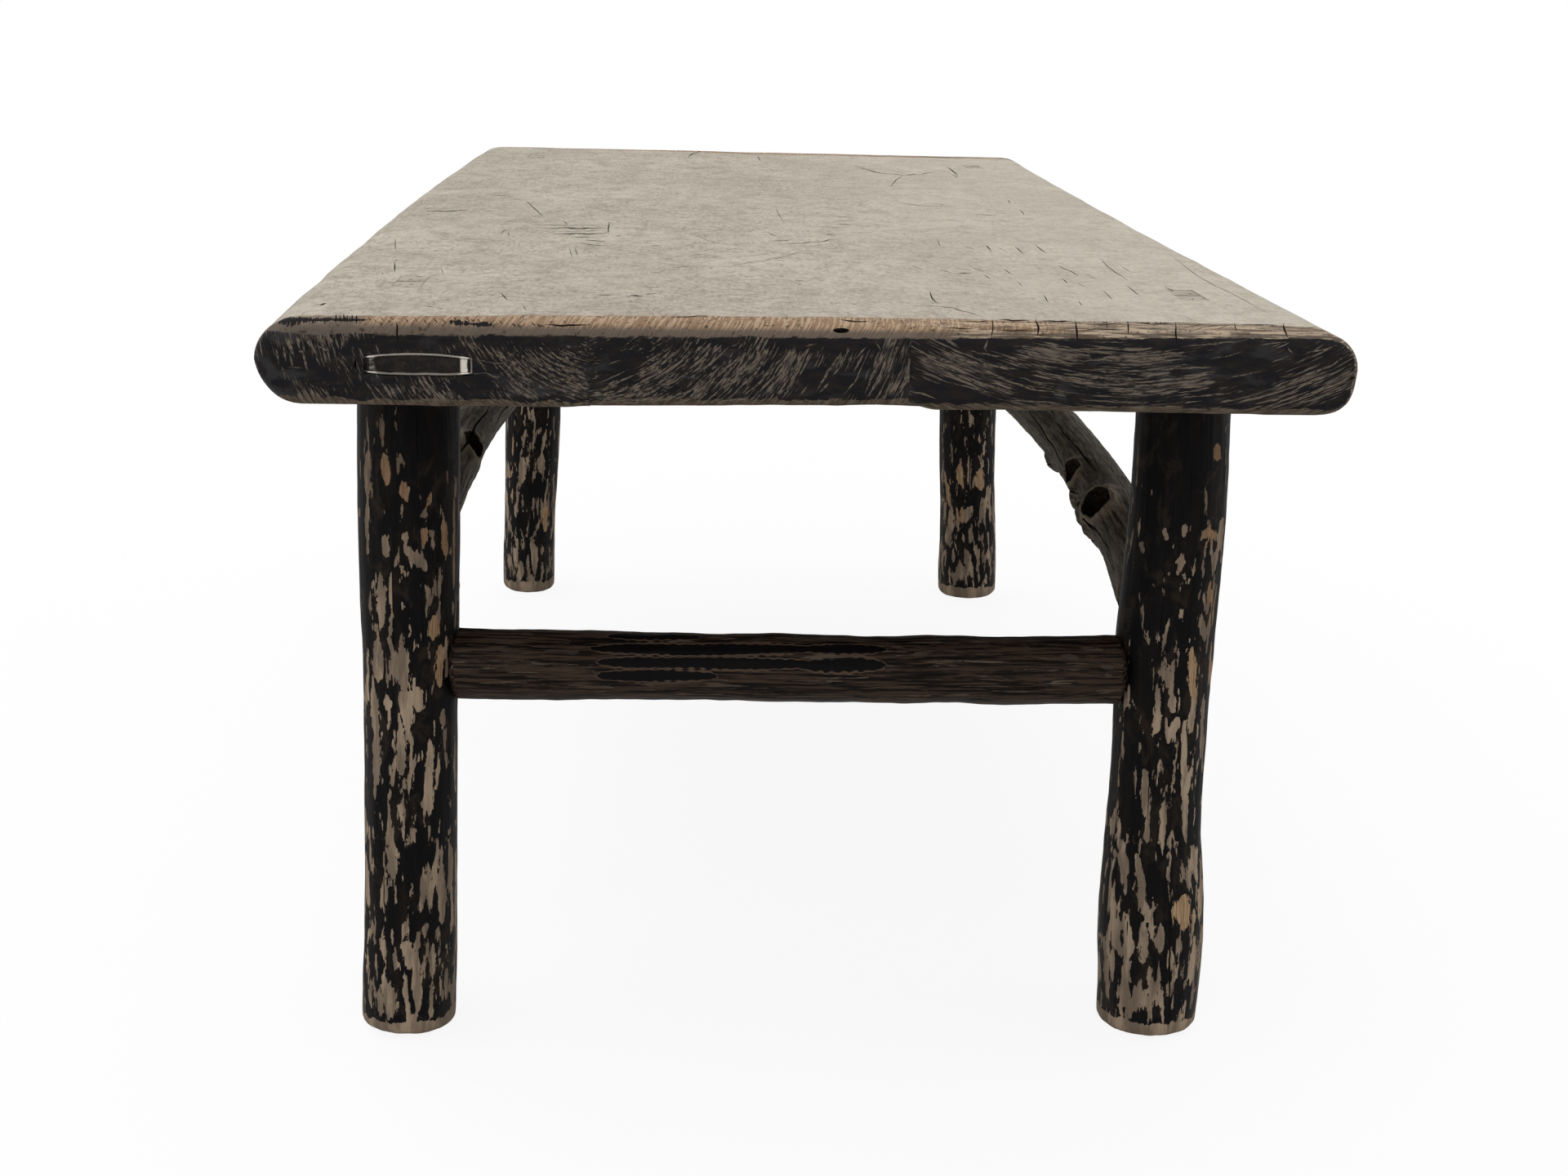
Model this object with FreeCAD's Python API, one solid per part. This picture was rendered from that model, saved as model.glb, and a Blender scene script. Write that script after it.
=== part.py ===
import FreeCAD, Part
import math
import os

# A low table for a kang, built by a country joiner: a thick top of three edge-jointed
# planks, four round logs for legs, a round rail across each end, and along each long
# side a naturally bent branch. Every joint is a wedged tenon that goes right through.
# X runs across the table, Y along it, Z up. The origin is on the floor, under the
# middle of the top. Front is the -Y end, left is the -X side. All lengths are in mm.

# The top
top_height = 487.0
top_length = 1200.0
top_width = 626.0
left_plank_thickness = 50.0
right_plank_thickness = 48.0
middle_plank_left_thickness = 49.5
middle_plank_right_thickness = 45.5
left_plank_front_width = 192.5
left_plank_back_width = 177.5
right_plank_front_width = 255.5
right_plank_back_width = 282.0
plank_seam = 0.3
left_edge_bow = 8.0
right_edge_bow = 5.0
end_round_top = 10.0
end_round_bottom = 7.0

# The worn long edges: how far each rounding runs in from the edge, and how deep it goes
left_nose_top_run = 27.0
left_nose_top_drop = 20.0
left_nose_tuck = 0.5
left_nose_bottom_run = 44.0
left_nose_bottom_rise = 23.0
right_nose_top_run = 14.0
right_nose_top_drop = 15.0
right_nose_tuck = 3.0
right_nose_bottom_run = 13.0
right_nose_bottom_rise = 12.0
worn_round_share = 0.69

# The loose tongues inside the two plank seams
tongue_length = 70.0
tongue_width = 44.0
tongue_thickness = 11.0
tongue_pitch = 380.0
tongue_depth = 24.0

# The legs
front_leg_inset = 71.5
back_leg_inset = 80.0
leg_frame_shift = 5.0
leg_overhang = 142.0
leg_splay = 38.0
foot_round = 6.0
front_left_diameter = 61.0
front_right_diameter = 62.0
back_left_diameter = 60.0
back_right_diameter = 64.0
front_left_spread = 10.0
front_right_spread = 1.0
back_left_spread = 17.0
back_right_spread = 24.0
leg_tenon_thickness = 17.0
leg_tenon_length = 44.0
tenon_recess = 0.3

# The end rails
rail_diameter = 46.0
rail_height = 243.5
rail_tenon_thickness = 16.0
rail_tenon_height = 30.0

# The side branches
branch_diameter = 48.0
branch_height = 291.0
branch_rise = 18.0
branch_sway = 15.0
branch_tenon_thickness = 18.0
branch_tenon_height = 48.0
branch_tenon_inset = 1.0
knot_radius = 17.0
hollow_radius = 12.0

# Fits between the pieces
fit_clearance = 0.15
shoulder_gap = 0.3
tenon_root = 5.0
cut_overrun = 20.0

# Wedges, driven into the end of every tenon
wedge_length = 26.0
wedge_trim = 5.0
wedge_thick_end = 4.0
wedge_thin_end = 1.2

# The forged iron staple let into the front end of the left plank
staple_length = 59.0
staple_end_height = 10.5
staple_middle_height = 14.0
staple_thickness = 2.6
staple_rim = 2.2
staple_pocket_depth = 1.3
staple_tab = 7.0
staple_spike_length = 22.0
staple_spike_width = 4.0
staple_spike_tip = 1.0
staple_from_edge = 98.5
staple_depth = 25.5

# Outlines of the round timbers, foot to shoulder or one end to the other, as shares:
# where each ring lies, its girth, and how far its centre wanders from a straight line
leg_ring_shares = (0.0, 0.1, 0.22, 0.33, 0.48, 0.65, 0.82, 1.0)
leg_girth_shares = {
    "front_left": (0.97, 0.985, 0.965, 0.965, 0.96, 1.0, 1.045, 1.03),
    "front_right": (1.07, 1.085, 1.09, 0.985, 0.99, 1.0, 0.955, 0.955),
    "back_left": (0.96, 0.98, 0.96, 1.0, 1.02, 1.03, 1.0, 0.99),
    "back_right": (1.03, 1.035, 0.99, 0.98, 1.0, 1.0, 0.985, 1.0),
}
leg_wander_x_shares = {
    "front_left": (0.0, 0.01, 0.02, 0.01, 0.0, -0.01, -0.01, 0.0),
    "front_right": (0.02, 0.03, 0.0, -0.01, -0.02, -0.005, 0.03, 0.0),
    "back_left": (0.0, -0.02, -0.01, 0.02, 0.03, 0.0, -0.02, 0.0),
    "back_right": (0.0, 0.02, 0.01, -0.02, -0.01, 0.01, 0.0, 0.0),
}
leg_wander_y_shares = {
    "front_left": (0.0, 0.02, 0.04, 0.03, 0.0, -0.02, 0.0, 0.0),
    "front_right": (0.0, -0.02, -0.03, 0.02, 0.04, 0.02, 0.0, 0.0),
    "back_left": (0.0, 0.03, 0.03, 0.0, -0.02, 0.0, 0.02, 0.0),
    "back_right": (0.0, -0.03, 0.0, 0.03, 0.02, 0.0, -0.01, 0.0),
}
rail_ring_shares = (0.0, 0.12, 0.3, 0.5, 0.7, 0.88, 1.0)
rail_girth_shares = {
    "front": (1.0, 1.01, 0.98, 0.97, 0.985, 1.0, 0.98),
    "back": (0.96, 0.98, 1.03, 1.0, 0.97, 0.99, 1.02),
}
rail_wander_shares = {
    "front": (0.0, 0.01, 0.0, -0.01, -0.02, 0.0, 0.0),
    "back": (0.0, 0.05, 0.09, 0.07, 0.03, 0.01, 0.0),
}
branch_ring_shares = (0.0, 0.071, 0.186, 0.312, 0.448, 0.604, 0.751, 0.897, 1.0)
branch_shoulder_share = 0.7
branch_girth_shares = {
    "left": (1.24, 1.03, 0.9, 0.92, 0.88, 0.9, 0.94, 1.05, 1.24),
    "right": (1.24, 1.03, 0.92, 0.9, 0.9, 0.91, 0.93, 1.05, 1.24),
}
branch_rise_shares = {
    "left": (0.0, 0.0, 0.55, 0.92, 0.78, 0.4, 0.17, 0.0, 0.0),
    "right": (0.0, 0.08, 0.42, 0.5, 0.4, 0.25, 0.1, 0.0, 0.0),
}
branch_sway_shares = {
    "left": (0.0, 0.55, 0.72, 0.72, 0.7, 0.5, 0.35, 0.15, 0.0),
    "right": (0.0, 0.15, 0.4, 0.7, 0.95, 1.0, 0.75, 0.35, 0.0),
}

# Knots on the branches, as balls, and the hollows where a knot has rotted out. Each has
# its share along, its degrees round from the top towards the middle of the table, and
# how far out the ball's centre lies, as a share of the branch's radius
branch_knots_shares = {
    "left": ((0.291, 55.0, 0.42), (0.249, 115.0, 0.2), (0.636, -60.0, 0.45), (0.835, 60.0, 0.4)),
    "right": ((0.277, 54.0, 0.42), (0.153, 45.0, 0.45), (0.259, 120.0, 0.42), (0.165, 135.0, 0.36),
              (0.437, 150.0, 0.4), (0.626, -70.0, 0.45), (0.814, 60.0, 0.4)),
}
branch_hollows_shares = {
    "left": ((0.291, 55.0, 1.2), (0.835, 60.0, 1.25)),
    "right": ((0.277, 54.0, 1.2), (0.153, 45.0, 1.2), (0.814, 60.0, 1.25)),
}

half_length = top_length / 2
half_width = top_width / 2


def block(centre, size):
    """A box of that size about that centre."""
    corner = centre - size / 2
    return Part.makeBox(size.x, size.y, size.z, corner)


def vec(x, y, z):
    return FreeCAD.Vector(x, y, z)


def mix(start, end, share):
    return start + (end - start) * share


def closed_wire(edges):
    return Part.Wire([edge.toShape() for edge in edges])


def quarter(start, centre, end):
    """A worn quarter round from start to end, a little flatter than a full one."""
    middle = centre + ((start - centre) + (end - centre)) * worn_round_share
    return Part.Arc(start, middle, end)


def polygon_prism(points, along):
    face = Part.Face(Part.makePolygon(points + points[:1]))
    return face.extrude(along)


# Planks

def left_edge(y):
    return -half_width + left_edge_bow * (y / half_length) ** 2


def right_edge(y):
    return half_width - right_edge_bow * (1 - (y / half_length) ** 2)


def left_seam(y):
    share = (y + half_length) / top_length
    return -half_width + mix(left_plank_front_width, left_plank_back_width, share)


def right_seam(y):
    share = (y + half_length) / top_length
    return half_width - mix(right_plank_front_width, right_plank_back_width, share)


left_nose = {
    "top_run": left_nose_top_run,
    "top_drop": left_nose_top_drop,
    "tuck": left_nose_tuck,
    "bottom_run": left_nose_bottom_run,
    "bottom_rise": left_nose_bottom_rise,
}
right_nose = {
    "top_run": right_nose_top_run,
    "top_drop": right_nose_top_drop,
    "tuck": right_nose_tuck,
    "bottom_run": right_nose_bottom_run,
    "bottom_rise": right_nose_bottom_rise,
}


def edge_section(y, outer_x, seam_x, inward, nose, thickness):
    """An outer plank's cross-section: its worn edge, with walls that run past top and bottom."""
    top = top_height
    bottom = top_height - thickness
    top_start = vec(outer_x + inward * nose["top_run"], y, top)
    upper = vec(outer_x, y, top - nose["top_drop"])
    lower = vec(outer_x + inward * nose["tuck"], y, bottom + nose["bottom_rise"])
    bottom_start = lower + vec(inward * nose["bottom_run"], 0, -nose["bottom_rise"])
    top_centre = vec(top_start.x, y, upper.z)
    bottom_centre = vec(bottom_start.x, y, lower.z)
    past = vec(0, 0, cut_overrun)
    seam_top = vec(seam_x, y, top) + past
    seam_bottom = vec(seam_x, y, bottom) - past
    return closed_wire([
        Part.LineSegment(seam_bottom, bottom_start - past),
        Part.LineSegment(bottom_start - past, bottom_start),
        quarter(bottom_start, bottom_centre, lower),
        Part.LineSegment(lower, upper),
        quarter(upper, top_centre, top_start),
        Part.LineSegment(top_start, top_start + past),
        Part.LineSegment(top_start + past, seam_top),
        Part.LineSegment(seam_top, seam_bottom),
    ])


def end_profile(thickness):
    """The plank seen from its side, with the worn arrises of both ends, as a prism across."""
    top = top_height
    bottom = top_height - thickness
    x = -top_width
    corners = []
    for end in (-1, 1):
        face = end * half_length
        high = face - end * end_round_top
        low = face - end * end_round_bottom
        corners.append({
            "low": vec(x, low, bottom),
            "low_centre": vec(x, low, bottom + end_round_bottom),
            "low_face": vec(x, face, bottom + end_round_bottom),
            "high_face": vec(x, face, top - end_round_top),
            "high_centre": vec(x, high, top - end_round_top),
            "high": vec(x, high, top),
        })
    front, back = corners
    wire = closed_wire([
        quarter(front["low"], front["low_centre"], front["low_face"]),
        Part.LineSegment(front["low_face"], front["high_face"]),
        quarter(front["high_face"], front["high_centre"], front["high"]),
        Part.LineSegment(front["high"], back["high"]),
        quarter(back["high"], back["high_centre"], back["high_face"]),
        Part.LineSegment(back["high_face"], back["low_face"]),
        quarter(back["low_face"], back["low_centre"], back["low"]),
        Part.LineSegment(back["low"], front["low"]),
    ])
    return Part.Face(wire).extrude(vec(2 * top_width, 0, 0))


def plank_stations():
    reach = half_length + cut_overrun
    return [-reach, -half_length / 2, 0.0, half_length / 2, reach]


def outer_plank(edge, seam, inward, nose, thickness):
    wires = []
    for y in plank_stations():
        seam_x = seam(y) - inward * plank_seam / 2
        wires.append(edge_section(y, edge(y), seam_x, inward, nose, thickness))
    return Part.makeLoft(wires, True, False).common(end_profile(thickness))


def middle_plank():
    """Straight between its two seams, and thinner towards the right."""
    near = -half_length - cut_overrun
    far = half_length + cut_overrun
    outline = [vec(left_seam(near) + plank_seam / 2, near, 0),
               vec(right_seam(near) - plank_seam / 2, near, 0),
               vec(right_seam(far) - plank_seam / 2, far, 0),
               vec(left_seam(far) + plank_seam / 2, far, 0)]
    body = polygon_prism(outline, vec(0, 0, 2 * top_height))
    body = body.common(end_profile(middle_plank_left_thickness))
    left = vec(min(left_seam(near), left_seam(far)), near,
               top_height - middle_plank_left_thickness)
    right = vec(max(right_seam(near), right_seam(far)), near,
                top_height - middle_plank_right_thickness)
    beyond = right * 2 - left
    underneath = [left, beyond, vec(beyond.x, near, 0), vec(left.x, near, 0)]
    return body.cut(polygon_prism(underneath, vec(0, far - near, 0)))


# Loose tongues in the seams

tongue_rows = {"front": -tongue_pitch, "middle": 0.0, "back": tongue_pitch}
tongue_size = vec(tongue_width, tongue_length, tongue_thickness)
slot_size = tongue_size + vec(fit_clearance, fit_clearance, fit_clearance) * 2


def tongue_centre(seam, y):
    return vec(seam(y), y, top_height - tongue_depth)


# Round timbers

def ring(centre, axis, radius):
    return Part.Wire(Part.Circle(centre, axis, radius).toShape())


def log(centres, axis, radii):
    """A log through rings. The last number is its curves' degree: a higher one overshoots."""
    wires = [ring(centre, axis, radius) for centre, radius in zip(centres, radii)]
    return Part.makeLoft(wires, True, False, False, 3)


leg_places = {
    "front_left": (-1, -1, front_left_diameter, front_leg_inset, front_left_spread),
    "front_right": (1, -1, front_right_diameter, front_leg_inset, front_right_spread),
    "back_left": (-1, 1, back_left_diameter, back_leg_inset, back_left_spread),
    "back_right": (1, 1, back_right_diameter, back_leg_inset, back_right_spread),
}


def shoulder_height(name):
    """Where a leg's shoulder meets the underside of its plank."""
    right = name.endswith("right")
    return top_height - (right_plank_thickness if right else left_plank_thickness)


def leg_axis(name, z):
    """The point at height z on the straight line from the foot's centre to the shoulder's."""
    side, end, diameter, inset, spread = leg_places[name]
    fall = 1 - z / shoulder_height(name)
    x = leg_frame_shift + side * (half_width - inset + spread * fall)
    y = end * (half_length - leg_overhang + leg_splay * fall)
    return vec(x, y, z)


def leg_radius(name):
    return leg_places[name][2] / 2


def leg_log(name, grown=0.0):
    """The round timber of a leg, foot to shoulder, without its tenon or mortises."""
    radius = leg_radius(name)
    centres = []
    radii = []
    for i, share in enumerate(leg_ring_shares):
        wander = vec(leg_wander_x_shares[name][i], leg_wander_y_shares[name][i], 0)
        centre = leg_axis(name, share * shoulder_height(name))
        centres.append(centre + wander * radius)
        radii.append(radius * leg_girth_shares[name][i] + grown)
    return log(centres, vec(0, 0, 1), radii)


def rounded_foot(timber):
    """The leg's log with the arris of its foot worn round."""
    lowest = min(timber.Edges, key=lambda edge: edge.BoundBox.ZMax)
    return timber.makeFillet(foot_round, [lowest])


def tapered_wedge(tip, along, across, width):
    """A wedge whose thick end lies at tip, driven in along, opening across, width wide."""
    side = along.cross(across) * (width / 2)
    thick = across * (wedge_thick_end / 2)
    thin = across * (wedge_thin_end / 2)
    point = tip + along * wedge_length
    corners = [tip - thick - side, point - thin - side, point + thin - side, tip + thick - side]
    return polygon_prism(corners, side * 2)


def leg_tenon_foot(name):
    return leg_axis(name, shoulder_height(name))


def leg_tenon(name):
    foot = leg_tenon_foot(name)
    height = top_height - tenon_recess - foot.z
    size = vec(leg_tenon_thickness, leg_tenon_length, height)
    return block(foot + vec(0, 0, height / 2), size)


def leg_mortise(name):
    foot = leg_tenon_foot(name)
    size = vec(leg_tenon_thickness + 2 * fit_clearance,
               leg_tenon_length + 2 * fit_clearance,
               2 * (top_height - foot.z + cut_overrun))
    return block(foot, size)


def leg_wedge(name):
    foot = leg_tenon_foot(name)
    head = vec(foot.x, foot.y, top_height - tenon_recess)
    return tapered_wedge(head, vec(0, 0, -1), vec(0, 1, 0), leg_tenon_thickness)


# Tenons that go through a leg: each has its centre on the leg's axis, the way it points,
# its thickness and its height

def outward(leg_name, along):
    """The way a tenon points in a leg: along X for a rail, along Y for a branch."""
    side, end = leg_places[leg_name][:2]
    return vec(side, 0, 0) if along == "x" else vec(0, end, 0)


def rail_tenon(name):
    centre = leg_axis(name, rail_height)
    return centre, outward(name, "x"), rail_tenon_thickness, rail_tenon_height


def branch_tenon(name):
    inset = -leg_places[name][0] * branch_tenon_inset
    centre = leg_axis(name, branch_height) + vec(inset, 0, 0)
    return centre, outward(name, "y"), branch_tenon_thickness, branch_tenon_height


def tenon_bar(tenon, start, end, spare=0.0):
    """A bar with a tenon's section, from start to end along the way that it points."""
    centre, way, thickness, height = tenon
    across = way.cross(vec(0, 0, 1))
    size = vec(0, 0, height + 2 * spare)
    for axis, length in ((way, end - start), (across, thickness + 2 * spare)):
        size += vec(abs(axis.x), abs(axis.y), 0) * length
    return block(centre + way * ((start + end) / 2), size)


def through_tenon(name, tenon, wedge):
    """The tenon from its root to where it ends flush with the far side of the leg."""
    reach = leg_radius(name) + tenon_root
    inner = tenon_bar(tenon, -reach, 0)
    outer = tenon_bar(tenon, 0, 2 * reach).common(leg_log(name))
    return inner.fuse(outer).cut(wedge)


def tenon_wedge(name, tenon):
    """The wedge in a through tenon, its head trimmed to the leg's round."""
    centre, way, thickness, height = tenon
    head = centre + way * (leg_radius(name) + wedge_trim)
    wedge = tapered_wedge(head, way * -1, vec(0, 0, 1), thickness)
    return wedge.common(leg_log(name))


def rail_wedge(name):
    return tenon_wedge(name, rail_tenon(name))


def branch_wedge(name):
    return tenon_wedge(name, branch_tenon(name))


# End rails, front and back

def end_rail(end):
    names = [end + "_left", end + "_right"]
    left, right = [leg_axis(name, rail_height) for name in names]
    centres = []
    radii = []
    for i, share in enumerate(rail_ring_shares):
        wander = vec(0, 0, rail_wander_shares[end][i] * rail_diameter)
        centres.append(mix(left, right, share) + wander)
        radii.append(rail_diameter / 2 * rail_girth_shares[end][i])
    body = log(centres, vec(1, 0, 0), radii)
    for name in names:
        body = body.cut(leg_log(name, shoulder_gap))
    for name in names:
        body = body.fuse(through_tenon(name, rail_tenon(name), rail_wedge(name)))
    return body.removeSplitter()


# Side branches, left and right

def branch_end(name):
    """Where a branch's round part ends, square to its length, within the hollow that its
    shoulder is scribed to round the leg."""
    centre, way, thickness, height = branch_tenon(name)
    return leg_axis(name, branch_height) - way * (branch_shoulder_share * leg_radius(name))


def branch_centre(side, i):
    front = branch_end("front_" + side)
    back = branch_end("back_" + side)
    outer = -1 if side == "left" else 1
    bend = vec(outer * branch_sway * branch_sway_shares[side][i], 0,
               branch_rise * branch_rise_shares[side][i])
    return mix(front, back, branch_ring_shares[i]) + bend


def branch_point(side, share):
    """The branch's centre at a share of its length, between two of its rings."""
    i = 0
    while branch_ring_shares[i + 1] < share:
        i += 1
    low, high = branch_ring_shares[i], branch_ring_shares[i + 1]
    part = (share - low) / (high - low)
    return mix(branch_centre(side, i), branch_centre(side, i + 1), part)


def branch_ball(side, place, radius):
    share, degrees, reach = place
    inward = 1 if side == "left" else -1
    turn = math.radians(degrees)
    out = vec(inward * math.sin(turn), 0, math.cos(turn)) * (branch_diameter / 2 * reach)
    return Part.makeSphere(radius, branch_point(side, share) + out)


def side_branch(side):
    names = ["front_" + side, "back_" + side]
    count = len(branch_ring_shares)
    centres = [branch_centre(side, i) for i in range(count)]
    radii = [branch_diameter / 2 * girth for girth in branch_girth_shares[side]]
    body = log(centres, vec(0, 1, 0), radii)
    for place in branch_knots_shares[side]:
        body = body.fuse(branch_ball(side, place, knot_radius))
    for place in branch_hollows_shares[side]:
        body = body.cut(branch_ball(side, place, hollow_radius))
    for name in names:
        body = body.cut(leg_log(name, shoulder_gap))
    for name in names:
        body = body.fuse(through_tenon(name, branch_tenon(name), branch_wedge(name)))
    return body.removeSplitter()


# Legs

def leg(name):
    body = rounded_foot(leg_log(name))
    reach = 2 * leg_radius(name)
    for tenon in (rail_tenon(name), branch_tenon(name)):
        body = body.cut(tenon_bar(tenon, -reach, reach, fit_clearance))
    return body.fuse(leg_tenon(name).cut(leg_wedge(name))).removeSplitter()


# The iron staple, seen square on from the front, with its rim level with the wood

staple_x = -half_width + staple_from_edge
staple_z = top_height - staple_depth


def staple_outline(y, margin, length):
    """A boat shape: higher in its middle than at its ends."""
    half = length / 2 + margin
    end_half = staple_end_height / 2 + margin
    middle_half = staple_middle_height / 2 + margin
    left_low = vec(staple_x - half, y, staple_z - end_half)
    left_high = vec(staple_x - half, y, staple_z + end_half)
    right_low = vec(staple_x + half, y, staple_z - end_half)
    right_high = vec(staple_x + half, y, staple_z + end_half)
    return closed_wire([
        Part.LineSegment(left_low, left_high),
        Part.Arc(left_high, vec(staple_x, y, staple_z + middle_half), right_high),
        Part.LineSegment(right_high, right_low),
        Part.Arc(right_low, vec(staple_x, y, staple_z - middle_half), left_low),
    ])


def staple_spike(side, spare):
    """A flat spike that tapers to its tip, at one end of the staple."""
    root_y = -half_length + staple_thickness / 2
    outer_x = staple_x + side * (staple_length / 2 + spare)
    root_x = outer_x - side * (staple_spike_width + 2 * spare)
    tip_x = outer_x - side * (staple_spike_tip + 2 * spare)
    tip_y = -half_length + staple_spike_length + spare
    low = staple_z - staple_end_height / 2 - spare
    outline = [vec(outer_x, root_y, low), vec(root_x, root_y, low),
               vec(tip_x, tip_y, low), vec(outer_x, tip_y, low)]
    return polygon_prism(outline, vec(0, 0, staple_end_height + 2 * spare))


def iron_staple():
    plate = Part.Face(staple_outline(-half_length, 0.0, staple_length))
    plate = plate.extrude(vec(0, staple_thickness, 0))
    pocket = Part.Face(staple_outline(-half_length, -staple_rim, staple_length - 2 * staple_tab))
    plate = plate.cut(pocket.extrude(vec(0, staple_pocket_depth, 0)))
    for side in (-1, 1):
        plate = plate.fuse(staple_spike(side, 0.0))
    return plate.removeSplitter()


def staple_recess():
    mouth = Part.Face(staple_outline(-half_length - cut_overrun, fit_clearance, staple_length))
    room = mouth.extrude(vec(0, staple_thickness + cut_overrun, 0))
    for side in (-1, 1):
        room = room.fuse(staple_spike(side, fit_clearance))
    return room


# Putting it together

def planks():
    left = outer_plank(left_edge, left_seam, 1, left_nose, left_plank_thickness)
    right = outer_plank(right_edge, right_seam, -1, right_nose, right_plank_thickness)
    middle = middle_plank()
    for y in tongue_rows.values():
        left_slot = block(tongue_centre(left_seam, y), slot_size)
        right_slot = block(tongue_centre(right_seam, y), slot_size)
        left = left.cut(left_slot)
        right = right.cut(right_slot)
        middle = middle.cut(left_slot).cut(right_slot)
    for end in ("front", "back"):
        left = left.cut(leg_mortise(end + "_left"))
        right = right.cut(leg_mortise(end + "_right"))
    left = left.cut(staple_recess())
    return {"plank_left": left, "plank_middle": middle, "plank_right": right}


def pieces():
    made = planks()
    for side, seam in (("left", left_seam), ("right", right_seam)):
        for row, y in tongue_rows.items():
            made["tongue_" + side + "_" + row] = block(tongue_centre(seam, y), tongue_size)
        made["side_branch_" + side] = side_branch(side)
    for end in ("front", "back"):
        made["end_rail_" + end] = end_rail(end)
        for side in ("left", "right"):
            name = end + "_" + side
            made["leg_" + name] = leg(name)
            made["wedge_leg_" + name] = leg_wedge(name)
            made["wedge_rail_" + name] = rail_wedge(name)
            made["wedge_branch_" + name] = branch_wedge(name)
    made["iron_staple"] = iron_staple()
    return made


os.makedirs("parts", exist_ok=True)
for name, shape in pieces().items():
    shape.exportStep("parts/" + name + ".step")
    print(name, len(shape.Solids), "solid", shape.isValid(), round(shape.Volume))
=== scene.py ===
import math

import bmesh
import bpy
import numpy as np
from mathutils import Matrix, Vector
from mathutils.bvhtree import BVHTree


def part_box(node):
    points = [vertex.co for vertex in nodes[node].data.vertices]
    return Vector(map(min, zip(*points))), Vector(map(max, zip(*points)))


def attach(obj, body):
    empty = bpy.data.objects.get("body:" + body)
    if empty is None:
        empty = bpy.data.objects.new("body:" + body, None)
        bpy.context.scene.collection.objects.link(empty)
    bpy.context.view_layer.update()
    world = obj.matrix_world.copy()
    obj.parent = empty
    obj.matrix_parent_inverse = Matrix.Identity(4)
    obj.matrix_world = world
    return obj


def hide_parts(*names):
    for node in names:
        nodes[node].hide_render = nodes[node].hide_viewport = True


# A low table for a kang: three thick planks on log legs, with round end rails and bent
# side branches. Metres; the near end is -Y, its left end -X.

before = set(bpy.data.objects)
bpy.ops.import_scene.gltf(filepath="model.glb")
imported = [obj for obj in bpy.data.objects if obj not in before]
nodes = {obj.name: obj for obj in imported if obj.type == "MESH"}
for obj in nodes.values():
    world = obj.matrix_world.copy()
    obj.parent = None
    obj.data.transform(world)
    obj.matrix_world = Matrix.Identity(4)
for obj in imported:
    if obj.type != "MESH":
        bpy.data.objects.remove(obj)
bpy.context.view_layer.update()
millimetre = 0.001

camera = {
    "place": (-0.0675, -1.6747, 0.6643),
    "turn": 0.0538,           # radians to the right of +Y
    "dip": 0.2966,            # radians below the horizon
    "roll": 0.0262,
    "lens": 45.0,             # mm on a 36 mm wide sensor
    "sensor": 36.0,
    "photoWidth": 1920,
    "photoHeight": 1440,
    "farthest": 60,
}

light = {      # distant lamps: strength, width of the soft source in degrees, where it comes from
    "above": (1.42, 70, (-0.25, 0.35, 1.0)),
    "front": (0.5, 60, (-0.2, -1.0, 0.5)),
    "left": (0.38, 60, (-1.0, -0.1, 0.5)),
    "right": (0.42, 60, (1.0, 0.1, 0.4)),
    "skyStrength": 0.36,
    "floorGlow": 1.12,
    "floorShare": 0.8,
    "floorTone": 0.55,
    "floorReach": 14.0,
}


# Camera, floor and lights

def cameraAxes():
    turn, dip, roll = camera["turn"], camera["dip"], camera["roll"]
    forward = Vector((math.sin(turn) * math.cos(dip), math.cos(turn) * math.cos(dip), -math.sin(dip)))
    level = Vector((math.cos(turn), -math.sin(turn), 0))
    upright = level.cross(forward)
    right = math.cos(roll) * level + math.sin(roll) * upright
    up = -math.sin(roll) * level + math.cos(roll) * upright
    return right, up, forward


def photoRay(across, down):      # the way from the camera through a point of the photo, in its pixels
    right, up, forward = cameraAxes()
    focal = camera["lens"] / camera["sensor"] * camera["photoWidth"]
    x = (across - camera["photoWidth"] / 2) / focal
    y = (camera["photoHeight"] / 2 - down) / focal
    return (forward + right * x + up * y).normalized()


def newObject(name, data):
    made = bpy.data.objects.new(name, data)
    bpy.context.scene.collection.objects.link(made)
    return made


def makeCamera():
    right, up, forward = cameraAxes()
    data = bpy.data.cameras.new("photoView")
    data.lens = camera["lens"]
    data.sensor_width = camera["sensor"]
    data.clip_end = camera["farthest"]
    seen = newObject("photoView", data)
    turned = Matrix((right, up, -forward)).transposed().to_4x4()
    seen.matrix_world = Matrix.Translation(camera["place"]) @ turned
    bpy.context.scene.camera = seen


def softLamp(name, strength, spread, towards):
    data = bpy.data.lights.new(name, "SUN")
    data.energy = strength
    data.angle = math.radians(spread)
    newObject(name, data).rotation_euler = Vector(towards).to_track_quat("Z", "Y").to_euler()


def makeStage():
    for side in ("above", "front", "left", "right"):
        softLamp(side + "Lamp", *light[side])
    reach = light["floorReach"]
    corners = [(-reach, -reach, 0), (reach, -reach, 0), (reach, reach, 0), (-reach, reach, 0)]
    floor = meshObject("paleFloor", corners, [(0, 1, 2, 3)])
    floor.data.materials.append(floorMaterial())
    world = bpy.data.worlds.new("paleRoom")
    bpy.context.scene.world = world
    world.use_nodes = True
    world.node_tree.nodes.clear()
    graph = Graph(world.node_tree)
    strength = graph.between(graph.seenDirectly(), light["skyStrength"], 1.0)
    background = graph.add("ShaderNodeBackground", Color=(1, 1, 1, 1), Strength=strength)
    graph.add("ShaderNodeOutputWorld", Surface=background.outputs[0])


# Material graphs

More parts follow.
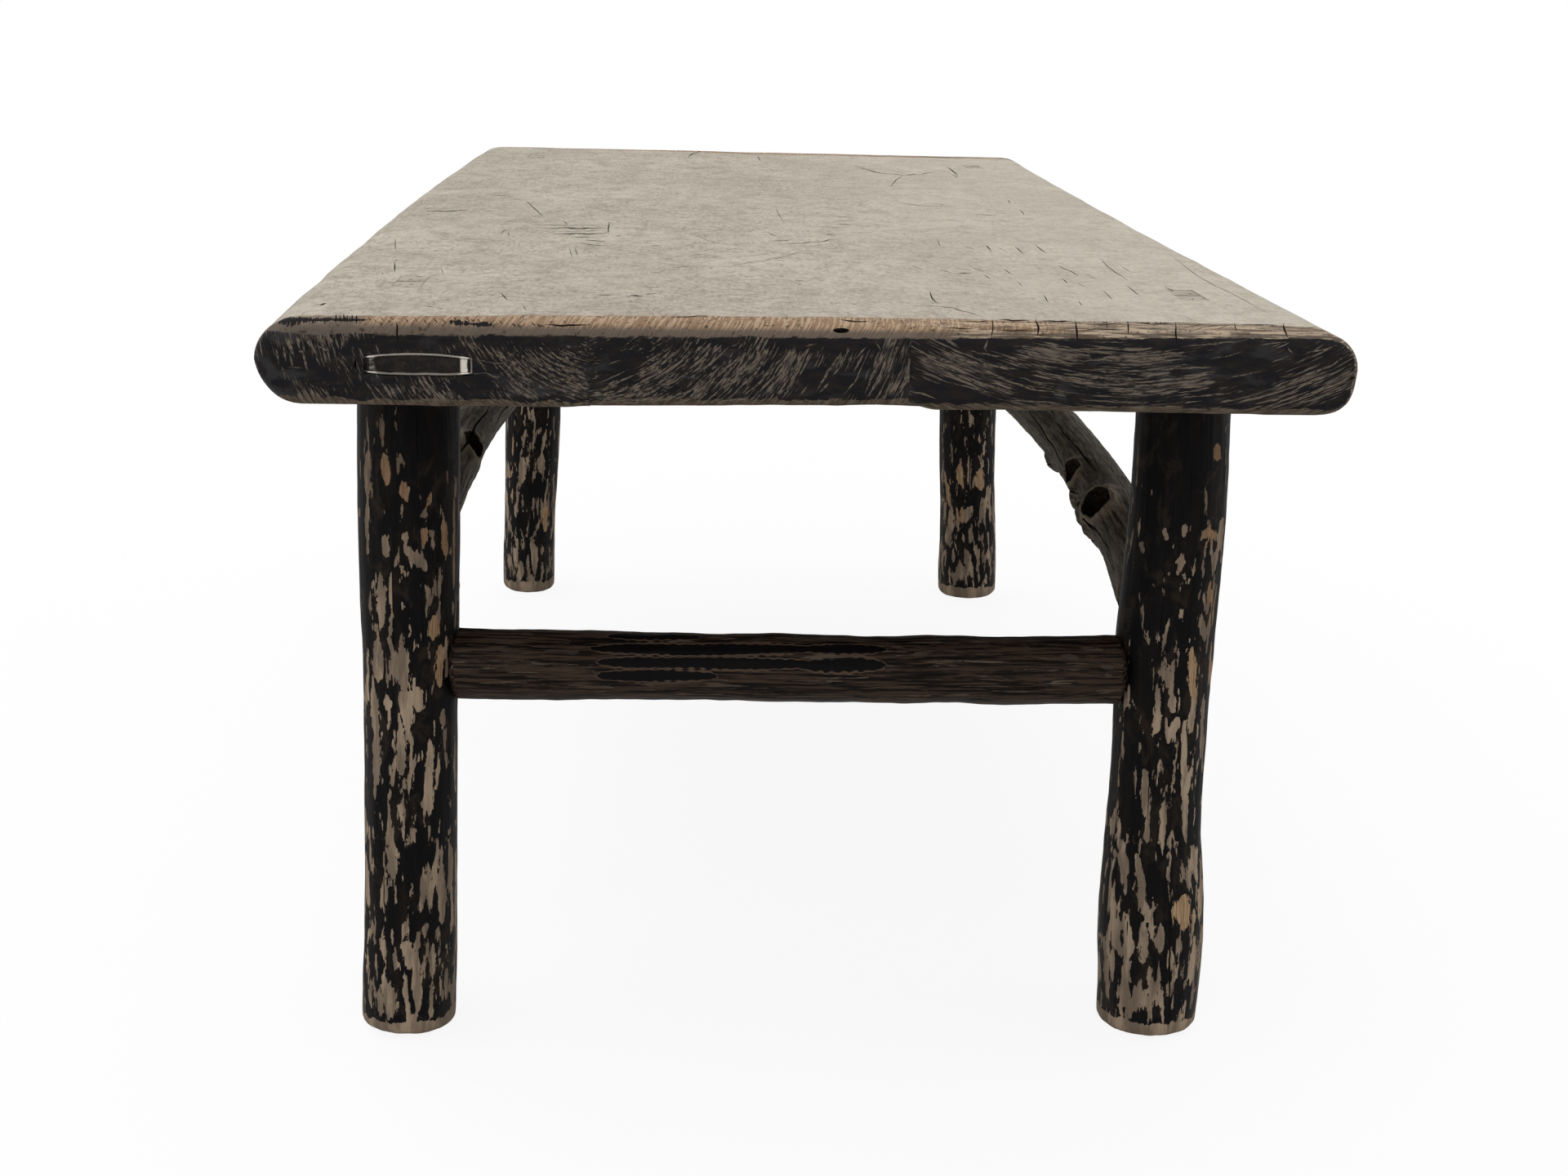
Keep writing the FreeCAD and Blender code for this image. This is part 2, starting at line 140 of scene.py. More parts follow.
class Graph:      # short calls for building a node tree
    def __init__(self, tree):
        self.tree = tree

    def put(self, socket, value):
        if isinstance(value, bpy.types.NodeSocket):
            self.tree.links.new(value, socket)
        elif isinstance(value, tuple) and len(value) == 3 and socket.type == "RGBA":
            socket.default_value = (*value, 1)
        else:
            socket.default_value = value

    def add(self, kind, settings=None, **values):
        node = self.tree.nodes.new(kind)
        for key, value in (settings or {}).items():
            setattr(node, key, value)
        for key, value in values.items():
            self.put(node.inputs[key], value)
        return node

    def maths(self, operation, first, second=0.0, third=0.0):
        node = self.add("ShaderNodeMath", {"operation": operation})
        for place, value in enumerate((first, second, third)):
            if place < len(node.inputs):
                self.put(node.inputs[place], value)
        return node.outputs[0]

    def times(self, first, second):
        return self.maths("MULTIPLY", first, second)

    def plus(self, first, second):
        return self.maths("ADD", first, second)

    def minus(self, first, second):
        return self.maths("SUBTRACT", first, second)

    def swing(self, value, reach):      # a noise of 0 to 1, made to swing about 0
        return self.times(self.minus(value, 0.5), reach)

    def between(self, share, low, high):
        node = self.add("ShaderNodeMapRange")
        self.put(node.inputs["Value"], share)
        self.put(node.inputs["To Min"], low)
        self.put(node.inputs["To Max"], high)
        return node.outputs[0]

    def step(self, value, low, high):      # 0 below low, 1 above high, smooth between
        node = self.add("ShaderNodeMapRange", {"interpolation_type": "SMOOTHSTEP"})
        self.put(node.inputs["Value"], value)
        self.put(node.inputs["From Min"], low)
        self.put(node.inputs["From Max"], high)
        return node.outputs[0]

    def mapped(self, vector, scale=(1, 1, 1), turn=(0, 0, 0), move=(0, 0, 0)):
        node = self.add("ShaderNodeMapping")
        self.put(node.inputs["Vector"], vector)
        node.inputs["Scale"].default_value = scale
        node.inputs["Rotation"].default_value = turn
        node.inputs["Location"].default_value = move
        return node.outputs[0]

    def noise(self, vector, size, detail=3.0, rough=0.55, bend=0.0, move=(0, 0, 0)):
        scale = tuple(1 / side for side in size)      # size: one lump's size along X, Y and Z
        node = self.add("ShaderNodeTexNoise", Scale=1.0, Detail=detail, Roughness=rough,
                        Distortion=bend)
        self.put(node.inputs["Vector"], self.mapped(vector, scale, move=move))
        return node.outputs["Fac"]

    def mix(self, share, first, second):
        node = self.add("ShaderNodeMix", {"data_type": "RGBA"})
        self.put(node.inputs[0], share)
        self.put(node.inputs[6], first)
        self.put(node.inputs[7], second)
        return node.outputs[2]

    def fade(self, value, low, high, first, second):      # first up to low, second above high
        return self.mix(self.step(value, low, high), first, second)

    def stain(self, under, over, value, low, high, most):      # over shows as value passes low to high
        return self.mix(self.times(self.step(value, low, high), most), under, over)

    def seenDirectly(self):      # 1 for the camera's own rays, in a mirror and through glass too
        path = self.add("ShaderNodeLightPath").outputs
        direct = self.maths("MAXIMUM", path["Is Camera Ray"], path["Is Glossy Ray"])
        return self.maths("MAXIMUM", direct, path["Is Transmission Ray"])

    def bump(self, height, distance, strength=1.0):
        node = self.add("ShaderNodeBump", Strength=strength, Distance=distance)
        self.put(node.inputs["Height"], height)
        return node.outputs[0]

    def attribute(self, name, kind="Fac"):
        return self.add("ShaderNodeAttribute", {"attribute_name": name}).outputs[kind]

    def place(self):
        return self.add("ShaderNodeTexCoord").outputs["Object"]

    def surface(self, colour, rough, normal=None, **values):
        shader = self.add("ShaderNodeBsdfPrincipled", **{"Base Color": colour, "Roughness": rough})
        for key, value in values.items():
            self.put(shader.inputs[key.replace("_", " ")], value)
        if normal is not None:
            self.put(shader.inputs["Normal"], normal)
        self.add("ShaderNodeOutputMaterial", Surface=shader.outputs[0])


def tone(red, green, blue):      # a colour as a screen shows it, 0 to 255, made linear
    shares = [value / 255 for value in (red, green, blue)]
    return tuple(s / 12.92 if s <= 0.04045 else ((s + 0.055) / 1.055) ** 2.4 for s in shares)


def newMaterial(name):
    material = bpy.data.materials.new(name)
    material.use_nodes = True
    material.node_tree.nodes.clear()
    return material, Graph(material.node_tree)


def floorMaterial():
    material, graph = newMaterial("paleFloor")
    matt = graph.add("ShaderNodeBsdfDiffuse", Color=(light["floorTone"],) * 3 + (1,))
    glow = graph.add("ShaderNodeEmission", Color=(1, 1, 1, 1), Strength=light["floorGlow"])
    share = graph.times(graph.seenDirectly(), light["floorShare"])
    both = graph.add("ShaderNodeMixShader")
    graph.put(both.inputs[0], share)
    graph.put(both.inputs[1], matt.outputs[0])
    graph.put(both.inputs[2], glow.outputs[0])
    graph.add("ShaderNodeOutputMaterial", Surface=both.outputs[0])
    return material


# Colours, as the photo shows them in plain light
weatheredGrey = tone(178, 170, 156)
weatheredPale = tone(197, 189, 174)
lacquerBlack = tone(24, 23, 26)
lacquerBrown = tone(38, 33, 30)
driftPale = tone(146, 135, 115)
driftDark = tone(52, 45, 35)


# Noise on points, the same on every run

def latticeValue(cells, seed):
    mixed = (cells[:, 0] * 73856093 ^ cells[:, 1] * 19349663 ^ cells[:, 2] * 83492791
             ^ (seed * 2654435761 + 97))
    mixed = (mixed ^ (mixed >> 13)) * 1274126177
    mixed = mixed ^ (mixed >> 16)
    return (mixed & 0xFFFF) / 32767.5 - 1


def smoothNoise(points, size, seed):      # -1 to 1; size: one lump's size along X, Y and Z
    scaled = points / np.asarray(size)
    base = np.floor(scaled).astype(np.int64)
    share = scaled - base
    share = share * share * (3 - 2 * share)
    total = np.zeros(len(points))
    for corner in np.ndindex(2, 2, 2):
        weight = np.prod(np.where(corner, share, 1 - share), axis=1)
        total += weight * latticeValue(base + np.array(corner), seed)
    return total


def layeredNoise(points, size, seed, layers=3):
    total = np.zeros(len(points))
    strength, size = 1.0, np.asarray(size, float)
    for layer in range(layers):
        total += strength * smoothNoise(points, size, seed + layer * 17)
        strength *= 0.5
        size = size / 2.07
    return total


def smoothStep(value, low, high):
    share = np.clip((value - low) / (high - low), 0, 1)
    return share * share * (3 - 2 * share)


# Meshes

def meshObject(name, points, faces):
    mesh = bpy.data.meshes.new(name)
    mesh.from_pydata([tuple(point) for point in points], [], faces)
    mesh.update()
    return newObject(name, mesh)


def getPoints(thing, key="co"):      # or, with "normal", the way out at each
    flat = np.zeros(len(thing.data.vertices) * 3)
    thing.data.vertices.foreach_get(key, flat)
    return flat.reshape(-1, 3)


def setPoints(thing, points):
    thing.data.vertices.foreach_set("co", np.asarray(points).ravel())
    thing.data.update()


def storeValues(thing, name, values):
    values = np.asarray(values, np.float32)
    kind, key = ("FLOAT_VECTOR", "vector") if values.ndim == 2 else ("FLOAT", "value")
    held = thing.data.attributes.new(name, kind, "POINT")
    held.data.foreach_set(key, values.ravel())


def finishShape(thing, sharpAngle=38):      # smooth shading, broken at sharp edges
    thing.data.shade_smooth()
    thing.data.set_sharp_from_angle(angle=math.radians(sharpAngle))


def applyModifiers(thing):
    depsgraph = bpy.context.evaluated_depsgraph_get()
    made = bpy.data.meshes.new_from_object(thing.evaluated_get(depsgraph))
    thing.modifiers.clear()
    thing.data = made


def combine(thing, other, way="DIFFERENCE"):      # other is used up
    modifier = thing.modifiers.new("combine", "BOOLEAN")
    modifier.operation = way
    modifier.solver = "MANIFOLD"
    modifier.object = other
    modifier.material_mode = "TRANSFER"
    applyModifiers(thing)
    bpy.data.objects.remove(other)


def editMesh(thing, change):
    shape = bmesh.new()
    shape.from_mesh(thing.data)
    change(shape)
    shape.to_mesh(thing.data)
    shape.free()


def faceOutwards(thing):
    editMesh(thing, lambda shape: bmesh.ops.recalc_face_normals(shape, faces=shape.faces))


def joinInto(thing, others):      # the others' shells become part of thing
    shape = bmesh.new()
    shape.from_mesh(thing.data)
    for other in others:
        shape.from_mesh(other.data)
        bpy.data.objects.remove(other)
    shape.to_mesh(thing.data)
    shape.free()


def surfaceTree(thing):      # its surface, for looking along rays
    points = getPoints(thing)
    faces = [tuple(face.vertices) for face in thing.data.polygons]
    return BVHTree.FromPolygons([tuple(point) for point in points], faces)


def blockObject(name, low, high):
    points = [(x, y, z) for z in (low[2], high[2]) for y in (low[1], high[1]) for x in (low[0],
                                                                                        high[0])]
    faces = [(0, 2, 3, 1), (4, 5, 7, 6), (0, 1, 5, 4), (2, 6, 7, 3), (0, 4, 6, 2), (1, 3, 7, 5)]
    return meshObject(name, points, faces)


# Cracks, as thin blades that are cut out of the wood

def crackBlade(places, outwards, width, depth, over=0.004):
    places = [Vector(place) for place in places]
    outwards = [Vector(outward).normalized() for outward in outwards]
    last = len(places) - 1
    points = []
    for i, (place, outward) in enumerate(zip(places, outwards)):
        along = (places[min(i + 1, last)] - places[max(i - 1, 0)]).normalized()
        side = along.cross(outward).normalized()
        share = math.sin(math.pi * (i + 0.12) / (last + 0.24)) ** 0.6
        half = width / 2 * share * (1 + over / depth)
        points += [place + outward * over + side * half, place + outward * over - side * half,
                   place - outward * depth * (0.25 + 0.75 * share)]
    faces = [(0, 1, 2), (last * 3, last * 3 + 2, last * 3 + 1)]
    for i in range(last):
        for k in range(3):
            n = (k + 1) % 3
            faces.append((i * 3 + k, i * 3 + 3 + k, i * 3 + 3 + n, i * 3 + n))
    return points, faces


def cutCracks(thing, blades, cutLining):      # blades that overlap go into separate cuts
    rounds = []
    for points, faces in blades:
        low = np.min(points, axis=0)
        high = np.max(points, axis=0)
        for held in rounds:
            if all(np.any(high < other[2]) or np.any(low > other[3]) for other in held):
                held.append((points, faces, low, high))
                break
        else:
            rounds.append([(points, faces, low, high)])
    for held in rounds:
        allPoints, allFaces = [], []
        for points, faces, low, high in held:
            start = len(allPoints)
            allPoints += [tuple(point) for point in points]
            allFaces += [tuple(start + v for v in face) for face in faces]
        cutter = meshObject("blades", allPoints, allFaces)
        faceOutwards(cutter)
        cutter.data.materials.append(cutLining)
        combine(thing, cutter)
    return len(rounds)


# The top: three planks, each a fine grid wrapped round the plank's own outline

plankShape = {
    "columns": 96,            # across the plank
    "noseColumns": 16,        # of them, round each half of a worn long edge
    "sideRows": 18,           # down an edge
    "rowSpacing": 0.004,      # along the plank
    "nearRowSpacing": 0.0022,
    "nearRows": 20,
    "endRows": 9,             # round the arris of an end
    "topRound": 0.010,
    "bottomRound": 0.007,
    "noseRound": 0.004,
    "anchor": 0.050,          # how far inside its edge the outline is looked at from
    "noseShares": (0.40, 0.62),
    "stations": 13,           # places along Y where the CAD's outline is looked at
    "stationInset": 0.015,
    "looks": 61,              # round a worn edge at each station
    "outlineRounds": 14,      # how often its outline is softened
    "fillTurn": 0.6,          # radians below level where an edge is fullest
    "fillSpread": 0.45,
    "seamLevel": 0.012,       # height over the underside at which a seam is looked at
    "undersideInset": 0.02,
    "liftReach": 0.016,       # from a seam, up to the middle plank's underside
    "inside": 0.00002,        # every point stays this far inside the CAD's box
}
# edge: the side that its worn long edge is on; rings: where the growth rings centre
# fill: how much fuller than the CAD the edge is low down; lift: of the underside at the seam
planks = {
    "plank_left": {"edge": -1, "rings": (-0.105, 0.5155), "ringWidth": 0.0026, "seed": 3,
                   "fill": 0.0058, "lift": 0.0006},
    "plank_middle": {"edge": 0, "rings": (-0.131, 0.5310), "ringWidth": 0.0026, "seed": 11},
    "plank_right": {"edge": 1, "rings": (0.176, 0.7000), "ringWidth": 0.0030, "seed": 23,
                    "fill": 0.0022, "lift": 0.0027},
}
plankWear = {
    "seed": 3, "topSwell": 0.00035, "topRipple": 0.00007,
    "arrisDents": 0.0005, "edgeDents": 0.0008, "faceDents": 0.0003, "underside": 0.0006,
    "seamClosed": 0.00018,    # the planks meet closer than the CAD's by this
    "seamGroove": 0.0003,
}


def boxGrid(countX, countY, countZ):      # the numbers of a box's surface points, and its faces
    number = np.full((countX + 1, countY + 1, countZ + 1), -1)
    shell = np.zeros(number.shape, bool)
    shell[[0, -1]] = True
    shell[:, [0, -1]] = True
    shell[:, :, [0, -1]] = True
    number[shell] = np.arange(shell.sum())
    sheets = [(number[:, :, 0], True), (number[:, :, -1], False), (number[:, 0], False),
              (number[:, -1], True), (number[0], True), (number[-1], False)]
    faces = []
    for grid, turned in sheets:
        quads = np.stack([grid[:-1, :-1], grid[1:, :-1], grid[1:, 1:], grid[:-1, 1:]],
                         axis=-1).reshape(-1, 4)
        faces.append(quads[:, ::-1] if turned else quads)
    return shell, np.vstack(faces)


def plankRows():      # where the rows lie along Y, closer together near the ends
    shape = plankShape
    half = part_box("plank_middle")[1].y
    turns = np.linspace(0, math.pi / 2, shape["endRows"] + 1)
    nearEnd = shape["topRound"] * (1 - np.cos(turns))
    near = nearEnd[-1] + shape["nearRowSpacing"] * np.arange(1, shape["nearRows"] + 1)
    count = round((2 * half - near[-1] - nearEnd[-1]) / shape["rowSpacing"])
    middle = np.linspace(near[-1], 2 * half - nearEnd[-1], count + 1)
    return np.concatenate([nearEnd, near, middle[1:], 2 * half - nearEnd[-2::-1]]) - half


def seamPlace(tree, name, y, side):      # where a plank's straight seam edge is, at y
    low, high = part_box(name)
    level = low.z + plankShape["seamLevel"]
    start = Vector((high.x + 0.1 if side > 0 else low.x - 0.1, y, level))
    return tree.ray_cast(start, Vector((-side, 0, 0)))[0].x


def nosePoints(tree, name, y, side):      # a worn edge's outline at y, from the top round to the bottom
    low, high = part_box(name)
    middle, shape = (low.z + high.z) / 2, plankShape
    outer = tree.ray_cast(Vector((side, y, middle)), Vector((-side, 0, 0)))[0].x
    anchor = Vector((outer - side * shape["anchor"], y, middle))
    found = []
    for turn in np.linspace(math.pi / 2, -math.pi / 2, shape["looks"]):
        way = Vector((side * math.cos(turn), 0, math.sin(turn)))
        fuller = (planks[name]["fill"]
                  * math.exp(-((turn + shape["fillTurn"]) / shape["fillSpread"]) ** 2))
        place = tree.ray_cast(anchor, way)[0] + way * fuller
        place.z = max(place.z, low.z)
        found.append(place)
    return softened(np.array([(place.x, place.z) for place in found]), shape["outlineRounds"])


def alongLine(line, shares):      # points at shares of a line's length
    lengths = np.concatenate([[0], np.cumsum(np.linalg.norm(np.diff(line, axis=0), axis=1))])
    lengths /= lengths[-1]
    return np.stack([np.interp(shares, lengths, line[:, k]) for k in range(line.shape[1])], axis=1)


def straightened(rows, places):      # one straight line, at the slope between the rows near the ends
    middle, near = len(rows) // 2, 20
    slope = places[-near] - places[near]
    return places[middle] + (rows - rows[middle]) * slope / (rows[-near] - rows[near])


def makePlank(name):
    shape, own = plankShape, planks[name]
    tree = surfaceTree(nodes[name])
    low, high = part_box(name)
    rows = plankRows()
    half = high.y
    across, nose, down = shape["columns"], shape["noseColumns"], shape["sideRows"]
    reach = half - shape["stationInset"]
    stations = np.linspace(-reach, reach, shape["stations"])
    seamSide = -own["edge"] or -1
    seam = np.interp(rows, stations, [seamPlace(tree, name, y, seamSide) for y in stations])
    seam = straightened(rows, seam)
    top = np.zeros((len(rows), across + 1, 2))
    bottom = np.zeros_like(top)
    edge = np.zeros((len(rows), down + 1, 2))
    topWay = np.zeros_like(top)
    bottomWay = np.zeros_like(top)
    edgeWay = np.zeros_like(edge)
    topWay[:, :, 1] = 1
    bottomWay[:, :, 1] = -1
    if own["edge"]:
        side = own["edge"]
        profiles = [nosePoints(tree, name, y, side) for y in stations]
        topShare, bottomShare = shape["noseShares"]
        for j, y in enumerate(rows):
            place = np.clip(np.interp(y, stations, range(len(stations))), 0, len(stations) - 1.001)
            first = int(place)
            profile = profiles[first] + (profiles[first + 1] - profiles[first]) * (place - first)
            fine = alongLine(profile, np.linspace(0, 1, 400))
            slope = np.gradient(fine, axis=0)
            ways = np.stack([-slope[:, 1], slope[:, 0]], axis=1) * side
            ways /= np.linalg.norm(ways, axis=1)[:, None]
            both = np.hstack([fine, ways])
            upper = alongLine(both, np.linspace(0, topShare, nose + 1))
            middle = alongLine(both, np.linspace(topShare, bottomShare, down + 1))
            lower = alongLine(both, np.linspace(1, bottomShare, nose + 1))
            top[j, -nose - 1:], topWay[j, -nose - 1:] = upper[:, :2], upper[:, 2:]
            bottom[j, -nose - 1:], bottomWay[j, -nose - 1:] = lower[:, :2], lower[:, 2:]
            edge[j], edgeWay[j] = middle[::-1, :2], middle[::-1, 2:]
            flat = across - nose
            for line, level in ((top, high.z), (bottom, low.z)):
                line[j, :flat + 1, 0] = np.linspace(seam[j], line[j, flat, 0], flat + 1)
                line[j, :flat, 1] = level
        fromSeam = np.abs(bottom[:, :, 0] - seam[:, None])
        bottom[:, :, 1] += own["lift"] * (1 - smoothStep(fromSeam, 0.0, shape["liftReach"]))
    else:
        other = straightened(rows,
                             np.interp(rows, stations, [seamPlace(tree, name, y, 1) for y in stations]))
        share = np.linspace(0, 1, across + 1)
        inset = shape["undersideInset"]
        lowest = [tree.ray_cast(Vector((place, 0, 0)), Vector((0, 0, 1)))[0].z
                  for place in (low.x + inset, high.x - inset)]
        rise = (lowest[1] - lowest[0]) / (high.x - low.x - 2 * inset)
        for j in range(len(rows)):
            top[j, :, 0] = bottom[j, :, 0] = seam[j] + (other[j] - seam[j]) * share
            top[j, :, 1] = high.z
            bottom[j, :, 1] = lowest[0] + rise * (bottom[j, :, 0] - low.x - inset)
    insetRows(rows, half, top, topWay)
    insetRows(rows, half, bottom, bottomWay)
    levels = np.linspace(0, 1, down + 1)[None, :, None]
    seamEdge = bottom[:, :1] + (top[:, :1] - bottom[:, :1]) * levels
    if own["edge"]:
        insetRows(rows, half, edge, edgeWay)
        edge[:, 0], edge[:, -1] = bottom[:, -1], top[:, -1]
    else:
        edge = bottom[:, -1:] + (top[:, -1:] - bottom[:, -1:]) * levels
    shell, faces = boxGrid(across, len(rows) - 1, down)
    width = np.abs(top[:, :, 0] - top[:, :1, 0]) + np.abs(bottom[:, :, 0] - bottom[:, :1, 0])
    u = (width / width[:, -1:])[:, :, None, None]
    w = levels[:, None]
    section = (1 - w) * bottom[:, :, None] + w * top[:, :, None]
    section = section + (1 - u) * seamEdge[:, None] + u * edge[:, None]
    section = section - ((1 - u) * (1 - w) * seamEdge[:, None, :1]
                         + (1 - u) * w * seamEdge[:, None, -1:]
                         + u * (1 - w) * edge[:, None, :1] + u * w * edge[:, None, -1:])
    section = section.transpose(1, 0, 2, 3)
    yGrid = np.broadcast_to(rows[None, :, None], section.shape[:3])
    points = np.stack([section[..., 0], yGrid, section[..., 1]], axis=-1)[shell]
    if seamSide > 0:
        faces = faces[:, ::-1]
    atSeam = np.zeros(section.shape[:3], bool)
    atSeam[0] = True
    if not own["edge"]:
        atSeam[-1] = True
    plank = meshObject(name + "_wood", points, faces.tolist())
    wearPlank(plank, name, atSeam[shell])
    return plank


def insetRows(rows, half, line, ways):      # the rows near an end step in, so its arris is round
    shape = plankShape
    fromEnd = half - np.abs(rows)
    up = ways[..., 1]
    radius = np.where(up > 0, shape["noseRound"] + (shape["topRound"] - shape["noseRound"]) * up,
                      shape["noseRound"] + (shape["bottomRound"] - shape["noseRound"]) * -up)
    short = np.clip(radius - fromEnd[:, None], 0, None)
    inset = radius - np.sqrt(np.clip(radius ** 2 - short ** 2, 0, None))
    line -= ways * inset[..., None]


def wearPlank(plank, name, atSeam):      # dents, swells and ripples
    wear = plankWear
    low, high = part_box(name)
    points, ways = getPoints(plank), getPoints(plank, "normal")
    facing = ways.copy()
    facing[atSeam, 0] = 0
    size = np.linalg.norm(facing, axis=1)
    facing = np.where(size[:, None] > 0.3, facing / np.maximum(size, 0.3)[:, None], 0)
    seed = wear["seed"]
    up = np.clip(facing[:, 2], 0, 1)
    under = np.clip(-facing[:, 2], 0, 1)
    end = np.abs(facing[:, 1])
    arris = 4 * end * up
    lowArris = 4 * end * under
    swell = layeredNoise(points, (0.07, 0.22, 0.1), seed) - 1.2
    ripple = layeredNoise(points, (0.03, 0.008, 0.02), seed + 2)
    dents = layeredNoise(points, (0.034, 0.02, 0.016), seed + 4, 3) - 0.7
    rolling = layeredNoise(points, (0.05, 0.07, 0.05), seed + 6, 3) - 0.8
    move = up * (wear["topSwell"] * swell + wear["topRipple"] * ripple)
    move += arris * wear["arrisDents"] * dents * 0.5 + lowArris * wear["edgeDents"] * dents * 0.5
    move += end * wear["faceDents"] * (dents + rolling) * 0.5
    move += np.abs(facing[:, 0]) * wear["edgeDents"] * rolling
    move += under * wear["underside"] * (layeredNoise(points, (0.04, 0.09, 0.04), seed + 8, 4) - 1.0)
    points = points + facing * move[:, None]
    seamTop = atSeam & (ways[:, 2] > 0.3)
    parted = smoothStep(smoothNoise(points[seamTop] * (0, 1, 0), (0.05,) * 3, 9), 0.3, 0.7)
    points[seamTop, 2] -= wear["seamGroove"] * parted * (points[seamTop, 0] > 0)
    points[atSeam, 0] += wear["seamClosed"] * np.sign(ways[atSeam, 0])
    inside = plankShape["inside"]
    points[:, 1] = np.clip(points[:, 1], -high.y + inside, high.y - inside)
    points[:, 2] = np.clip(points[:, 2], None, high.z - inside)
    setPoints(plank, points)


# The round timbers: a path down the middle of each CAD log, dressed by one Geometry Nodes tree

logShape = {
    "sides": 144,
    "ringSpacing": 0.0028,
    "footRound": 0.006,
    "footRows": 7,
    "rays": 32,               # looks at the CAD log round each station
    "footLook": 0.012,        # height of the lowest look at a leg
    "clear": 0.004,           # from its neighbours, where the looks begin and end
    "past": 0.03,             # how far a rail's or branch's path runs on past its looks
    "shoulderRound": 0.36,    # how much a rail thins as it runs into the legs
    "topGap": 0.0004,         # from a leg's shoulder up into the plank's worn underside
}
logKinds = {      # the axis that a log runs on, and how many looks along it measure it
    "leg": (2, 24), "end": (0, 16), "side": (1, 60),
}
grainSockets = ("Lump size", "Lump height", "Groove width", "Groove length", "Groove height", "Seed")
logs = {      # values for these sockets
    "leg_front_left": (0.045, 0.0008, 0.011, 0.16, 0.0009, 1.3),
    "leg_front_right": (0.04, 0.001, 0.010, 0.15, 0.0009, 7.7),
    "leg_back_left": (0.045, 0.0009, 0.012, 0.16, 0.0009, 13.1),
    "leg_back_right": (0.045, 0.0009, 0.012, 0.16, 0.0009, 19.4),
    "end_rail_front": (0.042, 0.0019, 0.009, 0.12, 0.0006, 23.9),
    "end_rail_back": (0.042, 0.0019, 0.010, 0.14, 0.0007, 31.5),
    "side_branch_left": (0.03, 0.0013, 0.0075, 0.12, 0.0017, 41.2),
    "side_branch_right": (0.03, 0.0013, 0.0075, 0.12, 0.0017, 53.8),
}


def logAxes(name):      # the axis that a log runs on, and the two across it
    along = logKinds[name.split("_")[0]][0]
    return along, [axis for axis in range(3) if axis != along]


def logTree():
    tree = bpy.data.node_groups.new("roundTimber", "GeometryNodeTree")
    face = tree.interface
    face.new_socket(name="Path", in_out="INPUT", socket_type="NodeSocketGeometry")
    face.new_socket(name="Sides", in_out="INPUT", socket_type="NodeSocketInt")
    for name in grainSockets:
        face.new_socket(name=name, in_out="INPUT", socket_type="NodeSocketFloat")
    face.new_socket(name="Wood", in_out="INPUT", socket_type="NodeSocketMaterial")
    face.new_socket(name="Timber", in_out="OUTPUT", socket_type="NodeSocketGeometry")
    graph = Graph(tree)
    given = graph.add("NodeGroupInput").outputs
    girth = graph.add("GeometryNodeInputNamedAttribute", {"data_type": "FLOAT"},
                      Name="girth").outputs["Attribute"]
    line = graph.add("GeometryNodeMeshToCurve", Mesh=given["Path"])
    path = graph.add("GeometryNodeCaptureAttribute")
    graph.put(path.inputs["Geometry"], line.outputs[0])
    path.capture_items.new("FLOAT", "along")
    path.capture_items.new("FLOAT", "girth")
    graph.put(path.inputs[1], graph.add("GeometryNodeSplineParameter").outputs["Length"])
    graph.put(path.inputs[2], girth)
    ring = graph.add("GeometryNodeCurvePrimitiveCircle", Radius=1.0, Resolution=given["Sides"])
    around = graph.add("GeometryNodeCaptureAttribute")
    graph.put(around.inputs["Geometry"], ring.outputs[0])
    around.capture_items.new("VECTOR", "around")
    graph.put(around.inputs[1], graph.add("GeometryNodeInputPosition").outputs[0])
    skin = graph.add("GeometryNodeCurveToMesh", Curve=path.outputs[0], Scale=path.outputs[2])
    graph.put(skin.inputs["Profile Curve"], around.outputs[0])
    graph.put(skin.inputs["Fill Caps"], True)
    flat = graph.add("ShaderNodeSeparateXYZ", Vector=around.outputs[1]).outputs
    sideways = [graph.times(flat[k], path.outputs[2]) for k in (0, 1)]
    height = 0.0
    for size, length, rise, detail in (("Lump size", "Lump size", "Lump height", 2.0),
                                       ("Groove width", "Groove length", "Groove height", 3.0)):
        scaled = [graph.maths("DIVIDE", side, given[size]) for side in sideways]
        run = graph.plus(graph.maths("DIVIDE", path.outputs[1], given[length]), given["Seed"])
        place = graph.add("ShaderNodeCombineXYZ", X=scaled[0], Y=scaled[1], Z=run).outputs[0]
        noise = graph.add("ShaderNodeTexNoise", Vector=place, Scale=1.0, Detail=detail, Roughness=0.55)
        level = graph.times(graph.minus(noise.outputs["Fac"], 0.6), 2.0)
        height = graph.maths("MULTIPLY_ADD", level, given[rise], height)
    outwards = graph.add("GeometryNodeInputNormal").outputs[0]
    offset = graph.add("ShaderNodeVectorMath", {"operation": "SCALE"}, Vector=outwards, Scale=height)
    moved = graph.add("GeometryNodeSetPosition", Geometry=skin.outputs[0], Offset=offset.outputs[0])
    smooth = graph.add("GeometryNodeSetShadeSmooth", Geometry=moved.outputs[0])
    whole = graph.add("GeometryNodeRealizeInstances", Geometry=smooth.outputs[0])
    dressed = graph.add("GeometryNodeSetMaterial", Geometry=whole.outputs[0], Material=given["Wood"])
    end = tree.nodes.new("NodeGroupOutput")
    graph.put(end.inputs["Timber"], dressed.outputs[0])
    return tree


